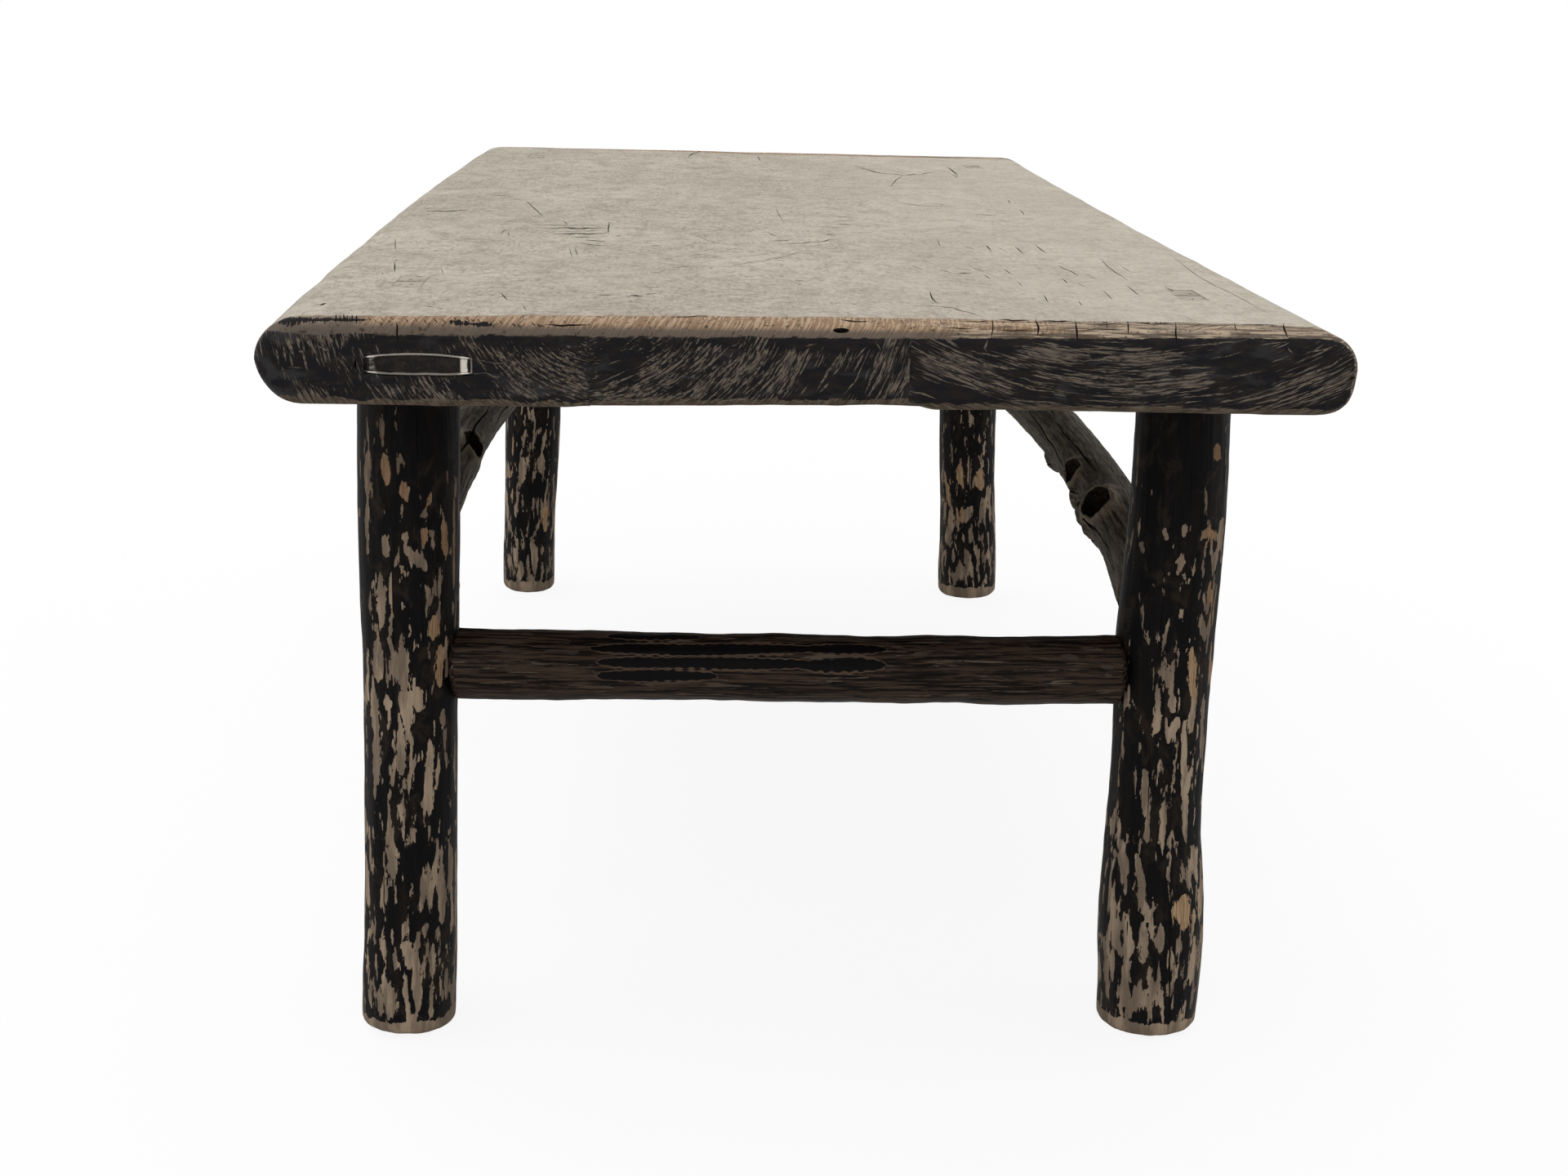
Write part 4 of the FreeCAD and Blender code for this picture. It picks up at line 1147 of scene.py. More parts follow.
frontStrokes = {      # where the black of the end is scratched through: points, then width
    "plank_left": [
        (670, 429, 687, 440, 706, 448, 720, 453, 2.2), (659, 431, 678, 445, 700, 454, 720, 461, 2.4),
        (651, 434, 671, 450, 694, 461, 719, 467, 2.2), (645, 436, 664, 453, 687, 465, 716, 475, 2.4),
        (641, 440, 659, 458, 681, 469, 709, 479, 2), (637, 445, 653, 461, 672, 472, 703, 486, 1.6),
        (683, 428, 703, 437, 720, 443, 1.8), (675, 472, 691, 478, 715, 489, 1.6),
        (569, 417, 581, 433, 1.8), (575, 418, 589, 437, 2.2), (583, 421, 597, 440, 1.8),
        (590, 420, 606, 442, 2), (600, 422, 616, 445, 1.8), (608, 425, 622, 443, 1.6),
        (577, 440, 591, 442, 606, 445, 625, 445, 1.4),
        (578, 459, 594, 456, 603, 461, 612, 461, 625, 452, 1.4), (352, 412, 360, 438, 4.5),
        (372, 408, 379, 424, 4.5), (388, 409, 392, 421, 4), (425, 408, 423, 418, 4),
        (338, 426, 341, 446, 2.6), (345, 448, 350, 466, 2.2), (398, 409, 404, 420, 3),
        (347, 423, 350, 442, 3), (355, 432, 358, 451, 2.6), (364, 411, 367, 423, 3.4),
        (370, 429, 377, 455, 2.8), (381, 417, 384, 432, 2.4), (394, 417, 397, 431, 2.6),
        (403, 411, 408, 422, 3.4), (410, 411, 414, 426, 2.4), (420, 414, 417, 428, 2.6),
        (366, 417, 381, 412, 3), (391, 424, 400, 430, 3.4), (409, 432, 432, 461, 1.4),
        (414, 431, 425, 443, 1.4), (352, 449, 370, 451, 1.4), (386, 436, 392, 447, 1.8),
        (366, 430, 372, 432, 3), (447, 467, 456, 479, 1.8), (456, 470, 469, 486, 2),
        (466, 467, 481, 489, 2.4), (475, 470, 487, 489, 2), (484, 470, 494, 486, 2),
        (500, 476, 506, 486, 1.8), (512, 482, 519, 490, 1.8), (541, 478, 548, 489, 1.8),
        (547, 479, 552, 487, 1.6), (600, 479, 608, 489, 1.8), (608, 478, 616, 489, 1.8),
        (616, 478, 627, 490, 1.8), (500, 470, 512, 477, 525, 477, 531, 474, 1.4),
        (380, 470, 388, 481, 1.8), (392, 474, 402, 486, 1.8),
    ],
    "plank_middle": [
        (733, 478, 752, 470, 780, 458, 2.4), (737, 486, 770, 476, 801, 464, 2.6),
        (731, 470, 748, 463, 770, 452, 1.6), (768, 462, 800, 450, 806, 447, 2),
        (776, 452, 803, 437, 824, 424, 2.2), (780, 460, 810, 446, 836, 424, 2.2),
        (801, 463, 828, 447, 850, 430, 2.4), (800, 476, 825, 468, 847, 452, 1.6),
        (842, 465, 872, 444, 893, 424, 2.6), (865, 472, 894, 446, 915, 430, 2.4),
        (875, 481, 903, 462, 934, 433, 2.6), (893, 487, 920, 462, 948, 430, 2),
        (903, 490, 931, 468, 950, 440, 2.2), (925, 474, 945, 452, 965, 430, 1.8),
        (812, 490, 835, 481, 852, 476, 2), (1000, 478, 1018, 449, 1028, 433, 3),
        (1003, 481, 1016, 467, 2.4), (1019, 461, 1034, 443, 2), (1046, 440, 1062, 424, 2.2),
        (1059, 481, 1075, 446, 1085, 430, 3.2), (1068, 478, 1081, 458, 2.6),
        (1093, 440, 1101, 421, 3.6), (1098, 487, 1112, 461, 1114, 434, 3.4),
        (960, 470, 975, 452, 985, 436, 1.8), (978, 486, 990, 470, 1.8),
        (1030, 487, 1045, 470, 1056, 455, 1.8), (950, 487, 962, 476, 1.8),
        (752, 492, 790, 488, 830, 489, 2.4), (880, 491, 905, 489, 925, 491, 2),
        (744, 446, 760, 441, 1.4), (858, 424, 868, 431, 1.4), (895, 424, 906, 420, 2),
        (986, 424, 1000, 421, 1.6), (1072, 419, 1080, 430, 1.6),
    ],
    "plank_right": [
        (1117, 428, 1131, 434, 1150, 440, 1175, 445, 2.2), (1122, 437, 1153, 448, 1175, 456, 2),
        (1159, 434, 1184, 443, 1216, 448, 2.2), (1184, 429, 1219, 436, 1240, 437, 1.8),
        (1166, 461, 1203, 470, 1238, 479, 2), (1159, 467, 1194, 476, 1222, 482, 1.6),
        (1113, 478, 1131, 483, 1147, 489, 2), (1126, 455, 1150, 464, 1165, 470, 1.6),
        (1210, 416, 1205, 426, 1208, 431, 2.6), (1200, 459, 1231, 465, 1261, 476, 1307, 482, 2),
        (1200, 444, 1228, 450, 1249, 453, 2.6), (1271, 437, 1301, 439, 1323, 436, 2),
        (1323, 442, 1353, 440, 1375, 444, 2.4), (1372, 440, 1415, 439, 1458, 431, 2),
        (1445, 425, 1476, 422, 1507, 419, 1525, 416, 1.8), (1292, 462, 1329, 468, 1353, 471, 2),
        (1323, 465, 1353, 463, 1384, 465, 1415, 462, 2), (1372, 479, 1396, 480, 1421, 477, 2),
        (1415, 453, 1445, 451, 1488, 450, 2.4), (1464, 486, 1491, 483, 1507, 482, 2),
        (1565, 477, 1593, 462, 1630, 447, 1657, 431, 2.2),
        (1568, 486, 1599, 471, 1630, 459, 1660, 443, 2.2),
        (1577, 492, 1608, 480, 1645, 468, 1660, 459, 2), (1599, 431, 1623, 428, 1639, 422, 2.2),
        (1568, 462, 1587, 456, 1.8), (1240, 424, 1262, 425, 1290, 424, 1.6),
        (1300, 428, 1340, 427, 1372, 426, 1.6), (1250, 462, 1270, 470, 1285, 472, 1.8),
        (1395, 431, 1425, 430, 1446, 427, 1.6), (1480, 440, 1504, 436, 1522, 431, 1.6),
        (1500, 464, 1530, 458, 1552, 452, 1.6), (1230, 489, 1265, 492, 1300, 493, 1.6),
        (1330, 452, 1356, 455, 1380, 453, 1.8), (1436, 464, 1460, 463, 1478, 460, 1.6),
        (1576, 424, 1583, 433, 1.6), (1606, 488, 1630, 482, 1648, 476, 1.8),
        (1540, 424, 1560, 420, 1580, 419, 1.6), (1255, 445, 1280, 449, 1300, 450, 1.8),
        (1392, 470, 1420, 472, 1450, 470, 1.6),
    ],
}
frontBlack = {      # patches of lacquer left on the bare arris: start, end, width
    "plank_left": [
        (341, 394, 372, 392, 14), (372, 391.5, 404, 391.5, 12), (404, 391, 447, 392, 6),
        (549, 394, 575, 396, 8), (575, 396.5, 604, 398, 6), (590, 394, 600, 399, 5),
    ],
    "plank_middle": [(652, 397, 725, 398.5, 5), (822, 388, 867, 388, 3.5)],
    "plank_right": [
        (1028, 391, 1064, 393, 5), (1174, 394, 1320, 394.5, 4), (1320, 394, 1457, 395.5, 5),
        (1475, 400, 1510, 397, 4), (1530, 399, 1570, 397, 4),
    ],
}
frontTan = {      # where the arris is rubbed to warm bare wood
    "plank_left": [(455, 391, 560, 392, 12), (560, 390, 620, 392, 16), (640, 392, 720, 392, 16)],
    "plank_middle": [
        (620, 392, 700, 391, 13), (700, 394, 860, 397, 18), (860, 396, 1010, 396, 20),
        (760, 392, 800, 396, 18),
    ],
    "plank_right": [
        (1050, 400, 1150, 402, 14), (1130, 397, 1210, 398, 12), (1225, 401, 1262, 401, 10),
        (1275, 400, 1312, 400, 9), (1322, 399, 1440, 401, 8), (1450, 401, 1505, 402, 8),
        (1520, 401, 1568, 402, 8), (1580, 398, 1640, 400, 7),
    ],
}
frontRubbed = {      # where the black of the end is rubbed through most: start, end, width
    "plank_left": [
        (345, 420, 425, 402, 40), (350, 455, 372, 472, 18), (465, 474, 560, 486, 18),
        (565, 400, 580, 432, 16), (600, 432, 715, 470, 44), (360, 484, 420, 490, 12),
    ],
    "plank_middle": [
        (730, 484, 850, 488, 30), (780, 458, 850, 440, 16), (800, 446, 895, 420, 22),
        (850, 482, 950, 430, 46), (930, 470, 990, 430, 26), (1000, 472, 1050, 430, 26),
        (1080, 410, 1105, 480, 36),
    ],
    "plank_right": [
        (1130, 440, 1240, 478, 26), (1240, 430, 1450, 436, 22), (1300, 462, 1480, 470, 26),
        (1585, 440, 1650, 470, 50), (1520, 480, 1600, 490, 20),
    ],
}
frontSolid = {      # where it is still whole
    "plank_left": [
        (320, 445, 420, 462, 22), (430, 418, 560, 416, 16), (590, 415, 700, 415, 20),
        (560, 450, 600, 470, 24), (440, 478, 470, 470, 12),
    ],
    "plank_middle": [
        (700, 424, 850, 412, 34), (735, 448, 790, 440, 14), (860, 414, 900, 420, 10),
        (960, 420, 1080, 418, 18), (985, 462, 1060, 474, 22),
    ],
    "plank_right": [
        (1112, 478, 1200, 490, 24), (1170, 418, 1250, 424, 18), (1480, 440, 1560, 460, 30),
        (1560, 412, 1640, 418, 14), (1390, 420, 1480, 424, 14),
    ],
}
strokeDepth = 0.35      # mm
topHole = {"place": (1030, 404.5), "halfSizes": (0.0045, 0.0018), "depth": 0.008, "sides": 20,
           "over": 0.004}

# lacquerFromTop: X, and how far below the top the black of an end starts
# bandOnTop: X, and how far the bare arris runs in over the top
plankFinish = {
    "lacquerFromTop": ((-0.26, 0.06, 0.28), (0.0092, 0.0066, 0.0030)),
    "bandOnTop": ((-0.27, -0.20, -0.06, 0.03, 0.20, 0.29), (0.009, 0.015, 0.028, 0.033, 0.035, 0.030)),
    "bandBlur": 0.012,
    "lacquerFromBottom": 0.0050,
    "lacquerFromSide": {-1: 0.0010, 1: 0.0030},      # in from a worn edge
    "outlineInset": 0.016,
    "endReach": 0.0095,       # how far in from the end's plane there is lacquer
    "middleRise": 0.0209,     # slope of the middle plank's underside
}


def lacquerZone(points, name):      # above 1 inside the black part of an end, 0 at its outline
    own, finish = planks[name], plankFinish
    low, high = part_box(name)
    down = (high.z - points[:, 2]) / np.interp(points[:, 0], *finish["lacquerFromTop"])
    bottom = np.full(len(points), low.z)
    if not own["edge"]:
        bottom += (points[:, 0] - low.x) * finish["middleRise"]
    zone = np.minimum(down, (points[:, 2] - bottom) / finish["lacquerFromBottom"])
    if own["edge"]:
        tree = surfaceTree(nodes[name])
        for end in (-1, 1):
            outline = nosePoints(tree, name, end * (high.y - finish["outlineInset"]), own["edge"])
            here = points[:, 1] * end > 0.55
            flat = points[here][:, [0, 2]]
            nearest = np.full(len(flat), 9.0)
            for start, stop in zip(outline[6:-14], outline[7:-13]):
                run = stop - start
                share = np.clip((flat - start) @ run / max(run @ run, 1e-12), 0, 1)
                nearest = np.minimum(nearest,
                                     np.linalg.norm(flat - start - share[:, None] * run, axis=1))
            zone[here] = np.minimum(zone[here], nearest / finish["lacquerFromSide"][own["edge"]])
    fromEnd = high.y - np.abs(points[:, 1])
    return np.where(fromEnd < finish["endReach"], np.clip(zone, 0, 4), 0)


def cutPlank(plank, name, cutLining, bareWood):
    low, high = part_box(name)
    spare = Vector((tenonFit["slotSpare"],) * 3)
    for tongue in [key for key in nodes if key.startswith("tongue")]:
        tongueLow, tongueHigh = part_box(tongue)
        if tongueHigh.x > low.x and tongueLow.x < high.x:
            combine(plank, blockObject("slot", tongueLow - spare, tongueHigh + spare))
    side = name.split("_")[1]
    if side != "middle":
        for end in ("front", "back"):
            combine(plank, legTenon(end, side, tenonFit["gap"], 0.40, 0.52))
    if name == "plank_left":
        combine(plank, strapRecess())
    tree = surfaceTree(plank)
    seed = planks[name]["seed"] * 10
    blades = photoCracks(tree, topCracks[name], seed)
    blades += photoCracks(tree, frontCracks[name], seed + 5)
    blades += photoCracks(tree, frontTicks[name], seed + 7, 0.002)
    strokes = [(*stroke, strokeDepth) for stroke in frontStrokes[name]]
    rounds = cutCracks(plank, photoCracks(tree, strokes, seed + 9, 0.001), bareWood)
    # the cracks are lined with painted shade
    rounds += cutCracks(plank, blades, cutLining)
    if name == "plank_middle":
        place, normal = seenPlace(tree, *topHole["place"])
        hole = ovalHole(place, normal)
        # the hole is lined with painted shade
        hole.data.materials.append(cutLining)
        combine(plank, hole)
    print(name, "cut in", rounds, "rounds")


def endCaps(count):
    return [tuple(range(count)), tuple(range(2 * count - 1, count - 1, -1))]


def ovalHole(place, normal):
    wide, tall = topHole["halfSizes"]
    across = Vector((1, 0, 0))
    upward = normal.cross(across).normalized()
    points, faces = [], []
    count = topHole["sides"]
    for level in (topHole["over"], -topHole["depth"]):
        for k in range(count):
            turn = 2 * math.pi * k / count
            aside = across * wide * math.cos(turn)
            points.append(place + normal * level + aside + upward * tall * math.sin(turn))
    for k in range(count):
        n = (k + 1) % count
        faces.append((k, k + count, n + count, n))
    hole = meshObject("hole", points, faces + endCaps(count))
    faceOutwards(hole)
    return hole


def markPlank(plank, name):      # what the finish reads at each point
    points = getPoints(plank)
    low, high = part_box(name)
    tree = surfaceTree(plank)
    front = points[:, 1] < -0.55
    for key, marks in (("blackMark", frontBlack[name]), ("tanMark", frontTan[name]),
                       ("rubbedMark", frontRubbed[name]), ("solidMark", frontSolid[name])):
        values = np.zeros(len(points))
        values[front] = markValues(points[front], tree, marks)
        storeValues(plank, key, values)
    storeValues(plank, "lacquerZone", lacquerZone(points, name))
    fromEnd = high.y - np.abs(points[:, 1])
    band = np.interp(points[:, 0], *plankFinish["bandOnTop"])
    storeValues(plank, "arris", np.clip(0.5 + (band - fromEnd) / plankFinish["bandBlur"], 0, 1))


# Finishes

def crackMaterial(name, dark, pale):
    material, graph = newMaterial(name)
    place = graph.place()
    fine = graph.noise(place, (0.0026, 0.0026, 0.0020), 4, 0.65)
    colour = graph.fade(fine, 0.34, 0.62, dark, pale)
    graph.surface(colour, 0.95, Specular_IOR_Level=0.1)
    return material


def topMaterial(name):
    own = planks[name]
    material, graph = newMaterial(name + "_wood")
    place = graph.place()
    at = graph.add("ShaderNodeSeparateXYZ", Vector=place).outputs
    normal = graph.add("ShaderNodeNewGeometry").outputs["Normal"]
    facing = graph.add("ShaderNodeSeparateXYZ", Vector=normal).outputs
    seed = 1.1

    def spot(size, detail=3.0, rough=0.55, bend=0.0, shift=0.0):
        return graph.noise(place, size, detail, rough, bend, (seed + shift, seed * 0.7 + shift, shift))

    # the weathered top
    cloud = spot((0.09, 0.16, 0.09), 3, 0.6)
    cloudFine = spot((0.018, 0.03, 0.018), 4, 0.62, 0.4, 3.1)
    across = spot((0.0105, 0.0050, 0.02), 5, 0.70, 0.5, 5.3)
    alongGrain = spot((0.0022, 0.07, 0.004), 3, 0.6, 0.2, 7.7)
    speck = spot((0.0035, 0.0032, 0.0035), 2, 0.6, 0.0, 9.1)
    grey = graph.fade(cloud, 0.35, 0.68, weatheredGrey, weatheredPale)
    patchy = graph.step(spot((0.035, 0.03, 0.05), 3, 0.6, 0.5, 31.0), 0.36, 0.64)
    grey = graph.stain(grey, tone(160, 150, 136), cloudFine, 0.42, 0.68, 0.7)
    grey = graph.stain(grey, tone(132, 123, 110), across, 0.50, 0.68, graph.between(patchy, 0.3, 0.65))
    grey = graph.stain(grey, tone(208, 201, 187), across, 0.46, 0.34, 0.6)
    grey = graph.stain(grey, tone(140, 130, 116), alongGrain, 0.55, 0.8, 0.22)
    grey = graph.stain(grey, tone(126, 115, 100), speck, 0.68, 0.78, 0.55)
    fleck = spot((0.0032, 0.0085, 0.004), 4, 0.72, 0.4, 10.3)
    grey = graph.stain(grey, tone(134, 124, 110), fleck, 0.5, 0.66, graph.between(patchy, 0.25, 0.75))
    grey = graph.stain(grey, tone(208, 200, 185), fleck, 0.48, 0.34, graph.between(patchy, 0.6, 0.3))
    pale = graph.times(graph.step(spot((0.02, 0.009, 0.02), 3, 0.6, 0.5, 11.9), 0.62, 0.72), 0.4)
    grey = graph.mix(pale, grey, tone(198, 190, 175))
    grey = graph.stain(grey, tone(204, 195, 180), at["X"], -0.05, 0.25, 0.35)

    # ticks: short dark strokes, slanted on the right, upright on the left
    tickTurn = {-1: math.radians(84), 0: math.radians(8), 1: math.radians(-38)}[own["edge"]]
    turned = graph.mapped(place, turn=(0, 0, tickTurn))
    tickNoise = graph.noise(turned, (0.011, 0.0017, 0.02), 2, 0.5, 0.0, (seed, 0, 0))
    tickArea = graph.step(spot((0.07, 0.11, 0.1), 2, 0.5, 0.0, 13.3), 0.5, 0.62)
    ticks = graph.times(graph.step(tickNoise, 0.63, 0.71), tickArea)
    grey = graph.mix(graph.times(ticks, 0.55), grey, tone(112, 101, 88))

    # the rubbed arris of the ends
    mark = graph.attribute("tanMark")
    lean = graph.maths("MULTIPLY_ADD", at["Y"], -0.09,
                       graph.maths("MULTIPLY_ADD", at["Z"], -0.6, at["X"]))
    leaning = graph.add("ShaderNodeCombineXYZ", X=lean, Y=at["Y"], Z=at["Z"]).outputs[0]
    sawNoise = graph.noise(leaning, (0.0013, 0.03, 0.02), 2, 0.5, 0.0, (seed, 0, 0))
    sawn = graph.step(sawNoise, 0.48, 0.56)
    blur = spot((0.012, 0.008, 0.004), 4, 0.6, 0.3, 17.0)
    lines = spot((0.022, 0.0035, 0.0012), 3, 0.6, 0.4, 19.0)
    bare = graph.fade(blur, 0.38, 0.66, tone(126, 112, 98), tone(160, 144, 126))
    warm = graph.mix(graph.times(sawn, 0.8), tone(148, 119, 93), tone(196, 170, 142))
    mark = graph.maths("MAXIMUM", mark,
                       graph.times(graph.step(at["X"], -0.262, -0.235), graph.step(at["X"], 0.2, 0.1)))
    warmth = graph.step(graph.maths("MULTIPLY_ADD", blur, 0.9, graph.minus(mark, 0.65)), 0.2, 0.62)
    bare = graph.mix(graph.times(warmth, 0.85), bare, warm)
    pores = graph.noise(leaning, (0.0016, 0.011, 0.005), 3, 0.6, 0.0, (seed + 5, 0, 0))
    bare = graph.stain(bare, tone(84, 71, 60), pores, 0.58, 0.64, 0.75)
    zone = graph.attribute("lacquerZone")
    bare = graph.stain(bare, tone(100, 91, 83), zone, 0.2, 0.65, 0.85)
    lined = graph.times(graph.step(at["X"], 0.04, 0.12), 0.8)
    bare = graph.mix(graph.times(lined, graph.step(lines, 0.52, 0.60)), bare, tone(94, 78, 62))
    bare = graph.mix(graph.times(lined, graph.step(lines, 0.47, 0.40)), bare, tone(196, 176, 150))
    bare = graph.stain(bare, tone(66, 56, 47), speck, 0.60, 0.70, 0.8)
    rim = graph.attribute("arris")
    ragged = graph.plus(rim, graph.swing(blur, 0.9))
    colour = graph.fade(ragged, 0.35, 0.65, grey, bare)
    brink = graph.times(graph.step(ragged, 0.42, 0.5), graph.step(ragged, 0.6, 0.5))
    colour = graph.mix(graph.times(brink, graph.step(across, 0.46, 0.6)), colour, tone(98, 82, 66))

    # worn long edges and the underside
    sideways = graph.maths("ABSOLUTE", facing["X"])
    edgeWear = graph.step(graph.plus(sideways, graph.times(blur, 0.5)), 0.7, 1.05)
    edgeTone = graph.fade(cloudFine, 0.4, 0.65, tone(96, 84, 72), tone(140, 126, 108))
    edgeTone = graph.stain(edgeTone, tone(44, 38, 34), alongGrain, 0.5, 0.66, 0.75)
    colour = graph.mix(edgeWear, colour, edgeTone)
    under = graph.step(graph.times(facing["Z"], -1.0), 0.15, 0.6)
    dull = graph.fade(cloudFine, 0.4, 0.65, tone(72, 61, 50), tone(112, 98, 82))
    dull = graph.stain(dull, tone(48, 40, 33), alongGrain, 0.5, 0.7, 0.6)
    colour = graph.mix(under, colour, dull)

    # black lacquer on the ends, rubbed through along the growth rings
    centreX, centreZ = own["rings"]
    fromX = graph.minus(at["X"], centreX)
    fromZ = graph.minus(at["Z"], centreZ)
    turn = graph.maths("ARCTAN2", fromZ, fromX)
    squares = graph.plus(graph.times(fromX, fromX), graph.times(fromZ, fromZ))
    away = graph.maths("SQRT", squares)
    away = graph.plus(away, graph.swing(cloudFine, 0.0022))
    ringPlace = graph.add("ShaderNodeCombineXYZ", X=graph.times(turn, 0.09), Y=away, Z=0.0).outputs[0]
    streak = graph.noise(ringPlace, (0.010, 0.0009, 1.0), 4, 0.6, 0.15, (seed, seed, 0))
    fleckEnd = graph.noise(ringPlace, (0.0042, 0.0012, 1.0), 4, 0.65, 0.4, (seed + 9, seed, 0))
    ringWave = graph.maths("SINE", graph.times(away, 2 * math.pi / own["ringWidth"]))
    rubbing = graph.noise(ringPlace, (0.030, 0.012, 1.0), 3, 0.6, 0.3, (seed + 4, seed, 0))
    share = graph.plus(graph.times(streak, 0.62), graph.times(fleckEnd, 0.38))
    share = graph.plus(share, graph.times(ringWave, 0.02))
    share = graph.plus(share, graph.swing(rubbing, 0.4))
    share = graph.plus(share, graph.times(graph.attribute("rubbedMark"), 0.075))
    share = graph.minus(share, graph.times(graph.attribute("solidMark"), 0.13))
    rubbed = graph.step(share, 0.545, 0.60)
    blackTone = graph.fade(blur, 0.4, 0.7, lacquerBlack, lacquerBrown)
    smudge = graph.times(graph.step(spot((0.03, 0.1, 0.012), 3, 0.6, 0.5, 27.0), 0.54, 0.7), 0.55)
    blackTone = graph.mix(smudge, blackTone, tone(66, 65, 66))
    bareEnd = graph.fade(fleckEnd, 0.42, 0.62, tone(78, 71, 65), tone(124, 113, 101))
    ends = graph.mix(rubbed, blackTone, bareEnd)
    wavy = graph.minus(spot((0.012, 0.014, 0.005), 4, 0.62, 0.3, 21.0), 0.5)
    wander = graph.times(wavy, graph.between(graph.step(at["Z"], 0.455, 0.465), 2.0, 0.75))
    endShare = graph.step(graph.plus(zone, wander), 0.92, 1.06)
    lowBand = graph.fade(fleckEnd, 0.4, 0.62, tone(74, 64, 54), tone(118, 105, 90))
    low = graph.step(at["Z"], 0.452, 0.448)
    colour = graph.mix(graph.times(low, graph.step(graph.maths("ABSOLUTE", facing["Y"]), 0.15, 0.5)),
                       colour, lowBand)
    colour = graph.mix(endShare, colour, ends)
    black = graph.attribute("blackMark")
    upright = graph.noise(place, (0.0011, 0.006, 0.007), 3, 0.6, 0.0, (seed, 0, 0))
    patch = graph.step(graph.plus(black, graph.swing(upright, 1.9)), 0.44, 0.54)
    colour = graph.mix(patch, colour, tone(30, 28, 30))

    dullness, gloss = (0.78,) * 3, (0.6,) * 3
    rough = graph.mix(endShare, dullness, graph.mix(rubbed, gloss, dullness))
    relief = graph.times(graph.minus(1.0, rubbed), graph.times(endShare, 0.7))
    relief = graph.plus(relief, graph.times(across, 0.9))
    relief = graph.plus(relief, graph.times(alongGrain, 0.5))
    relief = graph.minus(relief, graph.times(ticks, 0.6))
    graph.surface(colour, rough, graph.bump(relief, 0.0005, 0.7), Specular_IOR_Level=0.08)
    return material


lacquerFinish = {      # where it is left: share at the foot and at the top; the flakes' size
    "leg": {
        "bareLow": 0.412, "bareHigh": 0.335, "flake": (0.0050, 0.022), "foot": 0.012, "seed": 0.0,
        "wood": (tone(126, 111, 96), tone(178, 157, 134)),
        "dark": (tone(4, 4, 6), tone(19, 15, 12)),
    },
    "rail": {
        "bareLow": 0.36, "bareHigh": 0.36, "flake": (0.0020, 0.030), "foot": -1.0, "seed": 3.0,
        "wood": (tone(66, 56, 48), tone(98, 86, 75)),
        "dark": (tone(11, 8, 7), tone(68, 54, 44)),
    },
}


